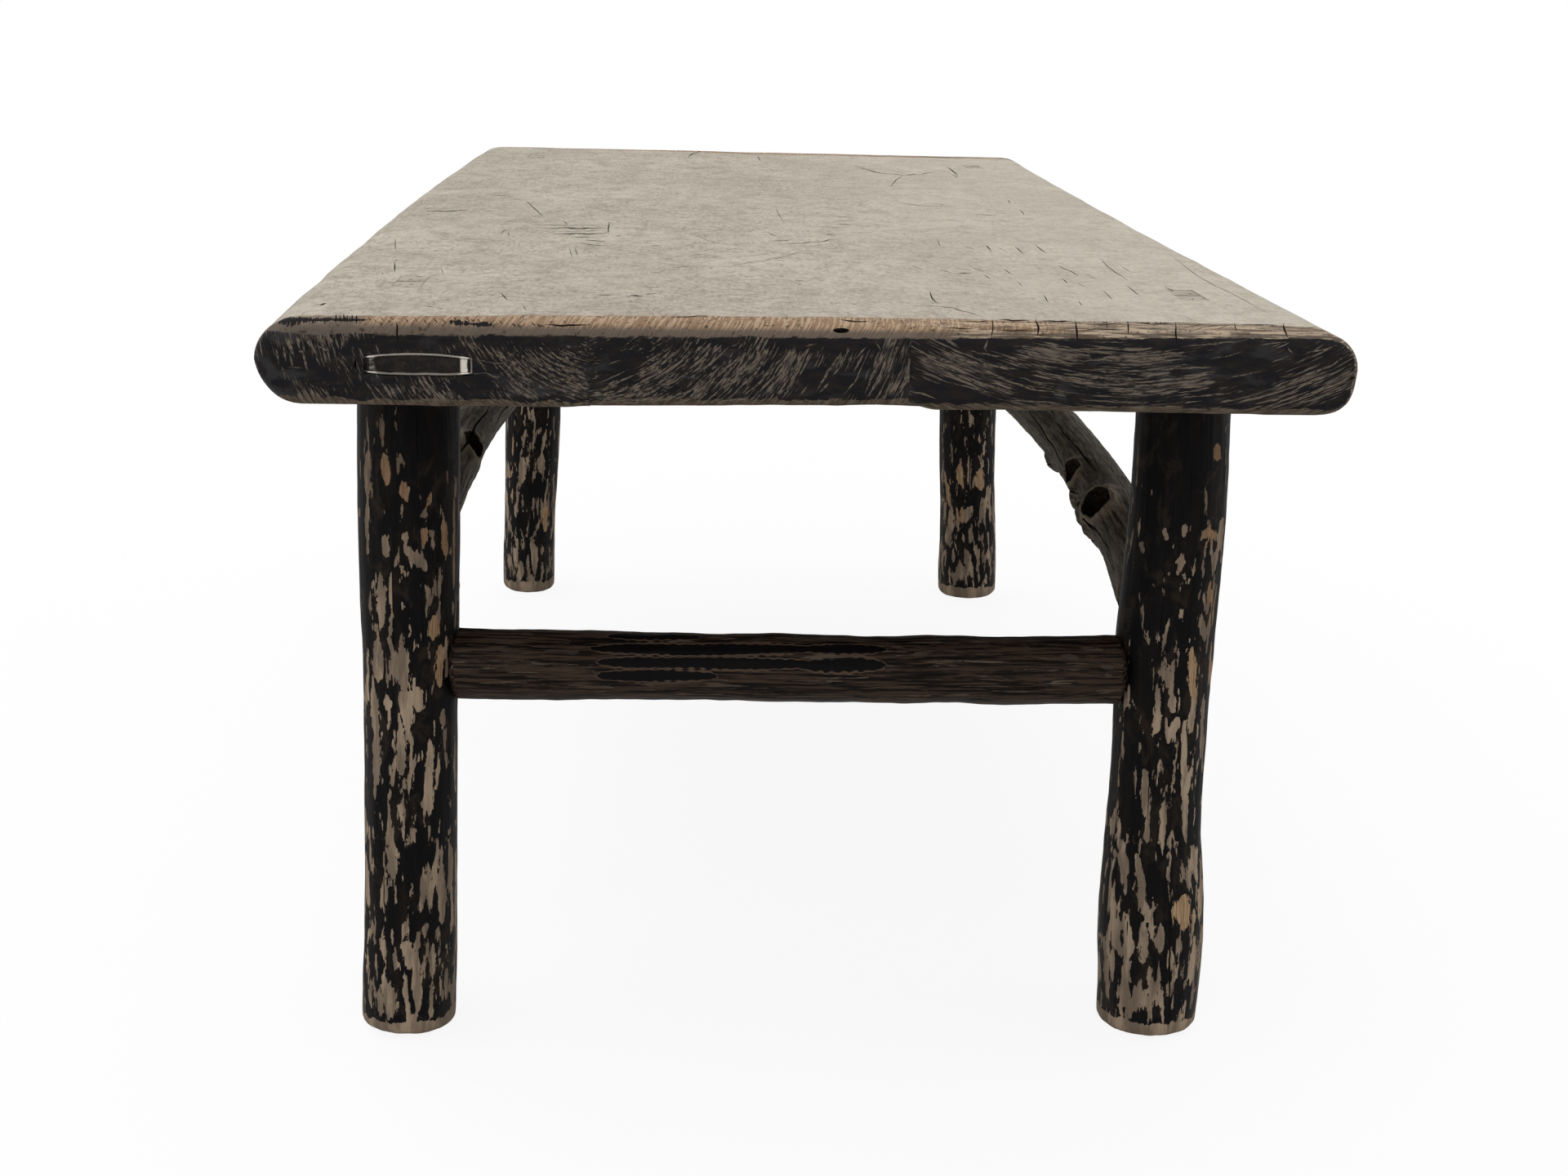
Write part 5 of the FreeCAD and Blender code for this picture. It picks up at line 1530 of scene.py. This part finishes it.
def lacquerMaterial(kind):
    look = lacquerFinish[kind]
    material, graph = newMaterial(kind + "_lacquer")
    within = graph.attribute("logSpace", "Vector")
    at = graph.add("ShaderNodeSeparateXYZ", Vector=within).outputs
    place = graph.place()
    height = graph.add("ShaderNodeSeparateXYZ", Vector=place).outputs["Z"]
    wide, long = look["flake"]

    def grain(width, length, detail=3.0, rough=0.55, bend=0.0, shift=0.0):
        return graph.noise(within, (width, width, length), detail, rough, bend,
                           (shift, shift, look["seed"] + shift))

    large = grain(wide * 2.2, long * 2.0, 2, 0.5, 0.3, 1.0)
    flakes = grain(wide, long, 2, 0.5, 0.25, 2.0)
    ragged = grain(wide * 0.3, long * 0.2, 4, 0.7, 0.2, 2.5)
    hair = grain(0.0009, 0.02, 3, 0.6, 0.1, 3.0)
    worn = graph.plus(graph.times(flakes, 0.55), graph.times(large, 0.27))
    worn = graph.plus(worn, graph.times(ragged, 0.18))
    ends = {"From Min": 0.05, "From Max": 0.42, "To Min": look["bareLow"], "To Max": look["bareHigh"]}
    share = graph.add("ShaderNodeMapRange", Value=height, **ends).outputs[0]
    level = graph.minus(graph.plus(worn, share), 0.93)
    bareMark = graph.attribute("bareMark")
    blackMark = graph.attribute("blackMark")
    tanMark = graph.attribute("tanMark")
    frayed = graph.swing(grain(wide * 0.45, long * 0.35, 4, 0.65, 0.3, 15.0), 1.5)
    marked = graph.times(graph.step(bareMark, 0.02, 0.2), graph.plus(bareMark, frayed))
    level = graph.plus(level, graph.times(graph.step(marked, 0.40, 0.60), 0.26))
    level = graph.minus(level, graph.times(graph.step(blackMark, 0.35, 0.6), 0.3))
    if look["foot"] > 0:
        line = graph.plus(height, graph.swing(grain(0.012, 0.02, 3, 0.6, 0.0, 5.0), 0.016))
        foot = graph.minus(1.0, graph.step(line, look["foot"] - 0.0012, look["foot"] + 0.0012))
        level = graph.plus(level, foot)
    bare = graph.step(level, -0.003, 0.004)
    woodTone = grain(0.009, 0.05, 4, 0.6, 0.4, 7.0)
    wood = graph.fade(woodTone, 0.38, 0.66, look["wood"][0], look["wood"][1])
    wood = graph.stain(wood, tone(92, 77, 64), hair, 0.5, 0.75, 0.35)
    # painted shade: the bare wood darkens towards the top, where the planks shade it
    wood = graph.stain(wood, tone(58, 46, 37), height, 0.20, 0.44, 0.62)
    tanned = graph.fade(hair, 0.4, 0.7, tone(158, 124, 92), tone(208, 178, 138))
    # painted shade: the tan patches darken towards the top as well
    tanned = graph.stain(tanned, tone(96, 62, 42), height, 0.16, 0.34, 0.5)
    wood = graph.stain(wood, tanned, tanMark, 0.3, 0.6, 0.8)
    dark = graph.mix(graph.step(grain(0.01, 0.06, 4, 0.6, 0.3, 9.0), 0.4, 0.7), *look["dark"])
    if kind == "rail":
        strips = grain(0.0021, 0.05, 4, 0.62, 0.3, 13.0)
        dark = graph.mix(graph.step(strips, 0.42, 0.58), *look["dark"])
        dark = graph.stain(dark, tone(14, 10, 8), hair, 0.5, 0.62, 0.6)
        bead = graph.maths("SINE", graph.times(at["Z"], 2 * math.pi / 0.0075))
        uneven = graph.maths("MULTIPLY_ADD", bead, 0.045, graph.swing(strips, 0.7))
        blackMark = graph.times(graph.step(blackMark, 0.02, 0.2), graph.plus(blackMark, uneven))
        outline = graph.times(graph.step(blackMark, 0.26, 0.36), graph.step(blackMark, 0.50, 0.44))
        dark = graph.mix(outline, dark, tone(88, 72, 60))
        dark = graph.fade(blackMark, 0.44, 0.50, dark, tone(7, 5, 5))
    else:
        dark = graph.stain(dark, tone(52, 45, 40), hair, 0.6, 0.72, 0.25)
        smears = grain(0.012, 0.022, 4, 0.65, 0.5, 17.0)
        dark = graph.stain(dark, tone(46, 38, 31), smears, 0.5, 0.68, 0.7)
    dark = graph.fade(height, 0.478, 0.480, dark, tone(176, 167, 153))
    colour = graph.mix(bare, dark, wood)
    rough = graph.mix(bare, (0.6, 0.6, 0.6), (0.75, 0.75, 0.75))
    relief = graph.minus(graph.times(hair, 0.5), bare)
    relief = graph.plus(relief, graph.times(grain(0.004, 0.05, 3, 0.6, 0.2, 11.0), 1.3))
    graph.surface(colour, rough, graph.bump(relief, 0.0006, 0.8), Specular_IOR_Level=0.07)
    return material


def branchMaterial():
    material, graph = newMaterial("branch_wood")
    within = graph.attribute("logSpace", "Vector")

    def grain(width, length, detail=3.0, rough=0.55, bend=0.0, shift=0.0):
        return graph.noise(within, (width, width, length), detail, rough, bend, (shift, shift, shift))

    strands = grain(0.0035, 0.07, 4, 0.62, 0.4, 1.0)
    hair = grain(0.0011, 0.03, 3, 0.6, 0.1, 3.0)
    clouds = grain(0.02, 0.07, 3, 0.6, 0.4, 5.0)
    wood = graph.fade(strands, 0.36, 0.64, driftDark, driftPale)
    wood = graph.stain(wood, tone(60, 50, 39), hair, 0.5, 0.7, 0.6)
    wood = graph.stain(wood, tone(58, 49, 40), clouds, 0.5, 0.66, 0.75)
    lines = graph.step(grain(0.0028, 0.055, 2, 0.5, 0.3, 7.0), 0.60, 0.655)
    wood = graph.mix(graph.times(lines, 0.85), wood, tone(30, 24, 19))
    height = graph.add("ShaderNodeSeparateXYZ", Vector=graph.place()).outputs["Z"]
    # painted shade: the branch wood darkens lower down, below about 0.38 m
    wood = graph.stain(wood, tone(46, 38, 30), height, 0.38, 0.31, 0.5)
    wood = graph.mix(graph.times(graph.attribute("rim"), 0.6), wood, tone(150, 138, 118))
    relief = graph.plus(graph.times(strands, 1.6), graph.times(hair, 0.5))
    relief = graph.minus(relief, lines)
    graph.surface(wood, 0.72, graph.bump(relief, 0.0009, 0.9), Specular_IOR_Level=0.1)
    return material


def wedgeMaterial(name, pale, dark):
    material, graph = newMaterial(name)
    place = graph.place()
    hair = graph.noise(place, (0.0012, 0.0012, 0.02), 4, 0.6)
    spots = graph.noise(place, (0.004, 0.004, 0.006), 3, 0.6, 0.3, (3, 0, 0))
    colour = graph.fade(hair, 0.4, 0.65, dark, pale)
    colour = graph.stain(colour, dark, spots, 0.5, 0.65, 0.5)
    graph.surface(colour, 0.75, graph.bump(hair, 0.0003, 0.6), Specular_IOR_Level=0.06)
    return material


def ironMaterial():
    material, graph = newMaterial("forged_iron")
    place = graph.place()
    rust = graph.noise(place, (0.006, 0.004, 0.004), 4, 0.65, 0.4)
    grit = graph.noise(place, (0.0012, 0.0012, 0.0012), 3, 0.6)
    rubbed = graph.attribute("rubbed")
    colour = graph.fade(rust, 0.42, 0.66, tone(24, 21, 20), tone(46, 39, 35))
    colour = graph.stain(colour, tone(90, 80, 70), grit, 0.58, 0.7, 0.35)
    bright = graph.step(graph.plus(rubbed, graph.swing(rust, 0.7)), 0.35, 0.7)
    colour = graph.mix(bright, colour, tone(205, 198, 186))
    rough = graph.mix(bright, (0.65, 0.65, 0.65), (0.38, 0.38, 0.38))
    metal = graph.times(bright, 0.6)
    graph.surface(colour, rough, graph.bump(grit, 0.0002, 0.7), Metallic=metal, Specular_IOR_Level=0.15)
    return material


# The iron strap let into the left plank's end: a shallow dish with hammered rims

strapShape = {
    "columns": 96, "rows": 28,
    "rim": 0.0016, "pocket": 0.0026, "tab": 0.0070, "back": 0.0030,
}


def strapHalves(share):      # how far its outline lies above and below its middle
    bulge = 1 - (2 * share - 1) ** 2
    return 0.0046 + 0.0021 * bulge, 0.0052 + 0.0012 * bulge + 0.0002 * math.sin(9 * share)


def strapRecess():      # a block with the strap's outline, to cut its seat
    low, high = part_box("iron_staple")
    middle, spare = (low.z + high.z) / 2, 0.00015
    shares = np.linspace(0, 1, 41)
    x = low.x + (high.x - low.x) * shares
    x[0] -= spare
    x[-1] += spare
    upper = [(place, middle + strapHalves(share)[0] + spare) for place, share in zip(x, shares)]
    lower = [(place, middle - strapHalves(share)[1] - spare) for place, share in zip(x, shares)]
    ring = upper + lower[::-1]
    count = len(ring)
    points = [(x, y, z) for y in (-0.61, -0.5965) for x, z in ring]
    faces = [(k, (k + 1) % count, (k + 1) % count + count, k + count) for k in range(count)]
    block = meshObject("recess", points, faces + endCaps(count))
    faceOutwards(block)
    return block


def makeStrap(iron):
    shape = strapShape
    low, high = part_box("iron_staple")
    front, middle = low.y + 0.0007, (low.z + high.z) / 2
    width = high.x - low.x
    columns, rows = shape["columns"], shape["rows"]
    across = np.linspace(0, 1, columns + 1)
    points, rub = [], []
    for j in range(rows + 1):
        up = j / rows
        for share in across:
            halfTop, halfBottom = strapHalves(share)
            z = middle - halfBottom + (halfTop + halfBottom) * up
            fromTop, fromBottom = (halfTop + halfBottom) * (1 - up), (halfTop + halfBottom) * up
            fromEnd = min(share, 1 - share) * width
            inside = min(smoothStep(fromTop, shape["rim"] * 0.6, shape["rim"] * 1.5),
                         smoothStep(fromBottom, shape["rim"] * 0.5, shape["rim"] * 1.3))
            tab = smoothStep(fromEnd, shape["tab"] * 0.75, shape["tab"] * 1.15)
            depth = shape["pocket"] * inside * (0.3 + 0.7 * tab)
            depth += 0.0012 * (1 - smoothStep(fromEnd, 0.0002, 0.0022))
            depth += 0.0007 * (1 - smoothStep(min(fromTop, fromBottom), 0.0, 0.0008))
            points.append((low.x + width * share, front + depth, z))
            ridge = (1 - inside) * smoothStep(min(fromTop, fromBottom), 0.0, 0.0007)
            reach = 1 - smoothStep(abs(share - 0.5), 0.40, 0.5) * 0.5
            tip = 1 - smoothStep(fromEnd, 0.0006, 0.0014)
            patch = (1 - tab) * smoothStep(fromEnd, 0.0018, 0.0030) * inside
            atTip, atPatch = (0.9, 0.8) if share > 0.5 else (0.3, 0.42)
            rub.append(max(ridge * reach, atTip * tip, patch * atPatch))
    points = np.array(points)
    count = len(points)
    rough = layeredNoise(points, (0.004, 0.004, 0.003), 71, 3)
    points[:, 1] = np.clip(points[:, 1] + 0.00012 * rough, low.y + 0.0001, None)
    points[:, 2] = np.clip(points[:, 2] + 0.00015 * layeredNoise(points, (0.007, 0.01, 0.01), 75),
                           low.z, high.z)
    back = points.copy()
    back[:, 1] = low.y + shape["back"] + 0.0012
    faces = []
    wide = columns + 1
    for j in range(rows):
        for i in range(columns):
            a, b = j * wide + i, j * wide + i + 1
            c, d = b + wide, a + wide
            faces += [(a, b, c, d), (a + count, d + count, c + count, b + count)]
    ring = list(range(wide)) + [j * wide + columns for j in range(1, rows + 1)]
    ring += ([rows * wide + i for i in range(columns - 1, -1, -1)]
             + [j * wide for j in range(rows - 1, 0, -1)])
    for a, b in zip(ring, ring[1:] + ring[:1]):
        faces.append((b, a, a + count, b + count))
    strap = meshObject("iron_strap", np.vstack([points, back]), faces)
    spikes = []
    for start in (low.x + 0.004, high.x - 0.008):
        spikes.append(blockObject("spike", (start, low.y + 0.004, middle - 0.002),
                                  (start + 0.004, high.y - 0.0005, middle + 0.002)))
    joinInto(strap, spikes)
    faceOutwards(strap)
    storeValues(strap, "rubbed", np.concatenate([rub, np.zeros(len(strap.data.vertices) - len(rub))]))
    strap.data.materials.append(iron)
    finishShape(strap, 50)
    return strap


# Marks and cracks on the logs, in photo pixels

logCracks = {
    "leg_front_right": [
        (1434, 1080, 1433, 1140, 1432, 1200, 1431, 1262, 2.4, 6),
        (1408, 905, 1407, 960, 1405, 1005, 1.3, 2), (1442, 1060, 1441, 1100, 1.2, 2),
        (1460, 560, 1458, 610, 1, 2),
    ],
    "leg_front_left": [
        (512, 500, 511, 530, 512, 562, 1.4, 2), (536, 640, 535, 700, 537, 745, 1.6, 2.5),
        (470, 1060, 471, 1130, 1.2, 2), (500, 905, 501, 950, 1.2, 2),
    ],
    "leg_back_left": [(652, 540, 651, 600, 652, 640, 1.3, 2)],
    "leg_back_right": [(1188, 540, 1187, 610, 1.3, 2)],
    "end_rail_front": [
        (575, 838, 660, 843, 760, 845, 1.3, 2), (1100, 838, 1200, 842, 1330, 843, 1.3, 2),
        (880, 845, 960, 849, 1040, 848, 1.2, 2),
    ],
}
bareMarks = {
    "leg_front_left": [
        (449, 507, 451, 546, 5), (467, 507, 469, 548, 6), (451, 551, 449, 607, 10),
        (471, 554, 473, 593, 11), (450, 610, 450, 679, 9), (490, 601, 500, 600, 24),
        (523, 612, 527, 613, 19), (518, 626, 520, 668, 9), (543, 635, 546, 682, 10),
        (471, 657, 473, 682, 11), (496, 651, 497, 665, 8), (496, 671, 522, 696, 13),
        (504, 696, 507, 768, 20), (515, 735, 514, 796, 9), (466, 702, 467, 768, 12),
        (479, 702, 481, 752, 7), (532, 755, 531, 782, 16), (539, 791, 538, 841, 12),
        (463, 782, 463, 833, 18), (492, 791, 496, 841, 14), (458, 844, 460, 899, 14),
        (496, 844, 500, 891, 16), (474, 852, 475, 869, 10), (511, 841, 514, 872, 12),
        (543, 869, 542, 891, 9), (461, 900, 461, 960, 15), (490, 893, 492, 950, 11),
        (527, 905, 526, 1000, 10), (481, 1030, 481, 1075, 12), (541, 1055, 542, 1130, 12),
        (498, 1152, 501, 1186, 13), (511, 1150, 510, 1165, 9), (530, 1155, 530, 1195, 8),
        (556, 610, 556, 720, 6),
    ],
    "leg_front_right": [
        (1490, 545, 1491, 566, 13), (1466, 566, 1466, 572, 8), (1497, 634, 1494, 672, 15),
        (1473, 652, 1478, 656, 16), (1476, 650, 1494, 660, 10), (1490, 672, 1485, 703, 12),
        (1442, 688, 1450, 690, 20), (1452, 639, 1449, 660, 6), (1426, 648, 1429, 663, 6),
        (1397, 663, 1400, 678, 8), (1431, 703, 1429, 763, 9), (1455, 709, 1456, 727, 5),
        (1420, 783, 1456, 783, 19), (1470, 757, 1476, 782, 10), (1482, 709, 1478, 754, 6),
        (1490, 715, 1484, 765, 5), (1459, 794, 1461, 855, 12), (1464, 842, 1458, 897, 10),
        (1482, 809, 1482, 839, 12), (1437, 806, 1435, 836, 5), (1435, 852, 1437, 873, 8),
        (1417, 839, 1418, 879, 6), (1441, 879, 1438, 897, 10), (1411, 806, 1412, 849, 4),
        (1420, 873, 1415, 897, 10), (1450, 885, 1452, 1030, 10), (1402, 940, 1402, 1000, 10),
        (1392, 1045, 1400, 1100, 9), (1398, 1100, 1409, 1130, 10), (1400, 1130, 1400, 1180, 12),
        (1450, 1096, 1450, 1136, 20), (1434, 1114, 1444, 1118, 7), (1378, 1180, 1378, 1230, 12),
        (1474, 850, 1470, 930, 7),
    ],
    "end_rail_front": [
        (1345, 815, 1365, 818, 6), (1352, 826, 1362, 828, 6), (1338, 795, 1352, 797, 5),
        (1300, 803, 1322, 806, 6),
    ],
    "leg_back_left": [(668, 620, 668, 650, 10), (640, 560, 640, 590, 9), (662, 560, 664, 580, 10)],
    "leg_back_right": [
        (1175, 570, 1176, 590, 10), (1200, 575, 1201, 600, 12), (1190, 620, 1178, 640, 10),
        (1165, 620, 1165, 650, 8),
    ],
}
blackMarks = {
    "leg_front_left": [
        (490, 512, 560, 512, 50), (492, 545, 560, 545, 60), (500, 640, 540, 640, 16),
        (450, 975, 452, 1010, 14),
    ],
    "leg_front_right": [
        (1400, 515, 1500, 515, 60), (1400, 570, 1475, 570, 60), (1410, 615, 1470, 620, 46),
        (1410, 720, 1418, 760, 24), (1395, 780, 1400, 870, 30), (1385, 940, 1386, 1010, 8),
    ],
    "end_rail_front": [
        (745, 779, 857, 780, 15), (725, 794, 998, 795, 15), (732, 811, 1000, 813, 14),
        (732, 827, 877, 828, 14), (985, 794, 1084, 795, 14), (980, 815, 1083, 814, 16),
    ],
}
tanMarks = {
    "leg_front_left": [
        (471, 554, 473, 593, 16), (490, 601, 500, 600, 30), (523, 612, 527, 613, 24),
        (543, 635, 546, 682, 14), (518, 645, 520, 668, 12), (532, 755, 531, 782, 18),
        (539, 791, 538, 841, 14), (557, 600, 557, 780, 9),
    ],
    "leg_front_right": [
        (1490, 545, 1491, 566, 16), (1475, 655, 1488, 658, 24), (1497, 630, 1496, 700, 18),
        (1450, 1098, 1450, 1135, 34), (1482, 809, 1482, 839, 16), (1480, 700, 1484, 800, 10),
        (1459, 794, 1461, 855, 14),
    ],
    "leg_back_left": [(668, 620, 668, 650, 12), (628, 520, 628, 620, 9)],
    "leg_back_right": [
        (1175, 565, 1176, 640, 12), (1200, 575, 1201, 600, 14), (1160, 520, 1160, 640, 9),
    ],
}
# photo pixel, or share along and degrees round; in mm the radius, the depth of the hollow or,
# below 0, the height of a lump, and the collar
branchKnots = {
    "side_branch_right": [
        ((1332, 632), 13, -8, 0), ((1313.5, 579), 10, 11, 2.5), ((1350, 622), 13, 15, 3.5),
        ((0.626, -70), 9, 8, 3), ((0.814, 60), 9, 8, 3),
    ],
    "side_branch_left": [((575, 547), 11, 12, 2.5), ((0.636, -60), 9, 8, 3), ((0.835, 60), 9, 8, 3)],
}
# shares along where each starts and ends, degrees round at both, width and depth in mm
branchCracks = {
    "side_branch_right": [
        (0.03, 0.3, 70, 96, 1.5, 4), (0.06, 0.36, 118, 140, 1.3, 4), (0.2, 0.5, 20, 40, 1.4, 4),
        (0.3, 0.62, 80, 60, 1.6, 5), (0.35, 0.7, 120, 150, 1.2, 4), (0.05, 0.3, -40, -70, 1.4, 4),
        (0.4, 0.8, -60, -30, 1.5, 5), (0.62, 0.94, 60, 100, 1.3, 4), (0.1, 0.34, 160, 190, 1.3, 4),
        (0.5, 0.86, 180, 210, 1.4, 5), (0.68, 0.95, 0, -30, 1.3, 4), (0.12, 0.25, 88, 80, 1, 3),
        (0.33, 0.46, 100, 92, 1, 3), (0.46, 0.6, 30, 10, 1.1, 3),
    ],
    "side_branch_left": [
        (0.04, 0.28, 70, 90, 1.4, 4), (0.08, 0.4, 110, 130, 1.3, 4), (0.2, 0.55, 30, 50, 1.5, 4),
        (0.4, 0.72, 90, 60, 1.4, 5), (0.3, 0.66, 140, 170, 1.2, 4), (0.05, 0.35, -50, -80, 1.4, 4),
        (0.45, 0.8, -30, -60, 1.5, 5), (0.6, 0.93, 110, 80, 1.3, 4), (0.15, 0.4, 190, 215, 1.3, 4),
        (0.55, 0.9, 200, 180, 1.4, 5), (0.7, 0.95, 20, 0, 1.2, 4),
    ],
}


def branchPlace(name, share, degrees):      # a point on a branch's surface and the way out from it
    rings, centres, radii = paths[name]
    place = np.interp(share, (0, 1), (rings[0], rings[-1]))
    x, z = (np.interp(place, rings, centres[:, k]) for k in (0, 1))
    radius = np.interp(place, rings, radii)
    inwards = -1 if name.endswith("right") else 1
    turn = math.radians(degrees)
    way = Vector((inwards * math.sin(turn), 0, math.cos(turn)))
    return Vector((x, place, z)) + way * radius, way


def shapeKnots(branch, name, hollowShade):      # lumps, and collared hollows where knots have rotted out
    hollows = []
    rim = np.zeros(len(branch.data.vertices))
    for number, (where, radius, pit, collar) in enumerate(branchKnots[name]):
        points = getPoints(branch)
        stretch = 1.0
        if where[0] > 1:
            place, normal = seenPlace(surfaceTree(branch), *where)
            if place is None:
                continue
            rings, centres, radii = paths[name]
            x, z = (np.interp(place.y, rings, centres[:, k]) for k in (0, 1))
            middle = Vector((x, place.y, z))
            way = ((place - middle).normalized() + normal).normalized()
            view = (place - Vector(camera["place"])).normalized()
            stretch = 1 / max(0.5, abs(way.dot(view)))
        else:
            place, way = branchPlace(name, *where)
        radius, pit, collar = radius * millimetre, pit * millimetre, collar * millimetre
        run = Vector((0, 1, 0)) - way * way.y
        run.normalize()
        offset = points - np.array(place)
        height = offset @ np.array(way)
        along = offset @ np.array(run)
        flat = (offset - height[:, None] * np.array(way)
                - (along * (1 - 1 / stretch))[:, None] * np.array(run))
        uneven = 1 + 0.16 * smoothNoise(points, (0.008,) * 3, 90 + number)
        distance = np.linalg.norm(flat, axis=1) * uneven
        near = np.abs(height) < 0.022
        if pit < 0:
            lump = near * -pit * np.exp(-(distance / radius) ** 2)
            setPoints(branch, points + lump[:, None] * np.array(way))
            continue
        ring = np.exp(-((distance - radius * 1.1) / (radius * 0.24)) ** 2)
        swell = np.exp(-(distance / (radius * 2.0)) ** 2)
        rim = np.maximum(rim, near * ring)
        setPoints(branch, points + (near * collar * (ring + swell))[:, None] * np.array(way))
        hollows.append((place + way * collar, way, run, radius, pit, stretch, number))
    storeValues(branch, "rim", rim)
    for place, way, run, radius, pit, stretch, number in hollows:
        shape = bmesh.new()
        bmesh.ops.create_icosphere(shape, subdivisions=4, radius=1.0)
        mesh = bpy.data.meshes.new("hollow")
        shape.to_mesh(mesh)
        shape.free()
        cutter = newObject("hollow", mesh)
        sphere = getPoints(cutter)
        sphere *= (1 + 0.10 * layeredNoise(sphere, (0.7,) * 3, 40 + number, 3))[:, None]
        side = run.cross(way)
        turned = (sphere[:, :1] * np.array(side) * radius
                  + sphere[:, 1:2] * np.array(run) * radius * stretch
                  + sphere[:, 2:] * np.array(way) * pit)
        setPoints(cutter, turned + np.array(place))
        # the hollow is lined with painted shade
        cutter.data.materials.append(hollowShade)
        combine(branch, cutter)


def branchBlades(name):
    blades = []
    for number, (first, last, startTurn, endTurn, width, depth) in enumerate(branchCracks[name]):
        count = max(8, round((last - first) * 110))
        places, ways = [], []
        for share in np.linspace(0, 1, count):
            wander = 5 * smoothNoise(np.array([[share * 9, number, 0.5]]), (1, 1, 1), 300)[0]
            turn = startTurn + (endTurn - startTurn) * share + wander
            place, way = branchPlace(name, first + (last - first) * share, turn)
            places.append(place)
            ways.append(way)
        blades.append(crackBlade(places, ways, width * millimetre, depth * millimetre, 0.006))
    return blades


def joinLegs(timbers):
    for leg in [name for name in timbers if name.startswith("leg")]:
        whole = copyOf(timbers[leg], "wholeLeg")
        end, side = leg.split("_")[1:]
        for kind, name in (("rail", "end_rail_" + end), ("branch", "side_branch_" + side)):
            tenon = copyOf(whole, "tenon")
            low, high = tenonBox(name, leg, kind)
            combine(tenon, blockObject("block", low, high), "INTERSECT")
            combine(tenon, closedCopy(f"wedge_{kind}_{end}_{side}"))
            low, high = tenonBox(name, leg, kind, tenonFit["gap"])
            combine(timbers[leg], blockObject("block", low, high))
            combine(timbers[name], copyOf(whole, "leg"))
            tenonParts.setdefault(name, []).append((tenon, leg))
        bpy.data.objects.remove(whole)
        wedge = f"wedge_leg_{end}_{side}"
        tenon = legTenon(end, side, 0.0, 0.42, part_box(wedge)[1].z - tenonFit["below"])
        combine(tenon, closedCopy(wedge))
        combine(timbers[leg], tenon, "UNION")


def dressLog(timber, name, cutLining):
    if name in logCracks:
        # the log's cracks are lined with painted shade
        cutCracks(timber, photoCracks(surfaceTree(timber), logCracks[name], 500), cutLining)
    space = [logSpace(getPoints(timber), name)]
    if name in tenonParts:
        count = len(timber.data.polygons)
        space += [logSpace(getPoints(tenon), leg) for tenon, leg in tenonParts[name]]
        joinInto(timber, [tenon for tenon, leg in tenonParts[name]])
        timber.data.materials.append(finishes["leg"])
        kinds = np.zeros(len(timber.data.polygons), np.int32)
        timber.data.polygons.foreach_get("material_index", kinds)
        kinds[count:] = len(timber.data.materials) - 1
        timber.data.polygons.foreach_set("material_index", kinds)
    storeValues(timber, "logSpace", np.vstack(space))
    points = getPoints(timber)
    tree = surfaceTree(timber)
    for key, marks in (("bareMark", bareMarks), ("blackMark", blackMarks), ("tanMark", tanMarks)):
        storeValues(timber, key, markValues(points, tree, marks.get(name, [])))
    finishShape(timber)


# Everything in order

print("camera and room")
makeCamera()
makeStage()
# crack_shade is painted shade: a near-black lining for the cracks and the oval hole
cutLining = crackMaterial("crack_shade", tone(14, 11, 9), tone(50, 42, 35))
# painted shade: a near-black lining for the knot hollows
hollowShade = crackMaterial("hollow_wood", tone(12, 9, 7), tone(46, 38, 30))
bareWood = crackMaterial("scratched_wood", tone(62, 56, 51), tone(132, 121, 107))

print("planks")
for name in planks:
    plank = makePlank(name)
    plank.data.materials.append(topMaterial(name))
    plank.data.materials.append(cutLining)
    cutPlank(plank, name, cutLining, bareWood)
    markPlank(plank, name)
    finishShape(plank)
    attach(plank, "root")
    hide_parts(name)

print("logs")
tree = logTree()
finishes = {"leg": lacquerMaterial("leg"), "end": lacquerMaterial("rail"), "side": branchMaterial()}
timbers = {name: makeLog(name, tree, finishes[name.split("_")[0]]) for name in logs}
for name in branchKnots:
    followNode(timbers[name], name)
    shapeKnots(timbers[name], name, hollowShade)
    # the branch cracks are lined with painted shade
    cutCracks(timbers[name], branchBlades(name), cutLining)

joinLegs(timbers)
for name, timber in timbers.items():
    dressLog(timber, name, cutLining)
    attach(timber, "root")
    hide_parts(name)

print("iron, wedges and tongues")
strap = makeStrap(ironMaterial())
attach(strap, "root")
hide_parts("iron_staple")
wedgeTop = wedgeMaterial("wedge_top_wood", tone(176, 166, 150), tone(120, 108, 94))
wedgeDark = wedgeMaterial("wedge_dark_wood", tone(22, 19, 18), tone(10, 9, 10))
tonguePale = wedgeMaterial("tongue_wood", tone(186, 160, 126), tone(150, 124, 94))
for name, node in nodes.items():
    kind = "_".join(name.split("_")[:2])
    if kind.startswith(("wedge", "tongue")):
        finish = (tonguePale if kind.startswith("tongue")
                  else wedgeTop if kind == "wedge_leg" else wedgeDark)
        node.data.materials.clear()
        node.data.materials.append(finish)

print("closing")
bpy.context.scene.view_settings.view_transform = "Standard"
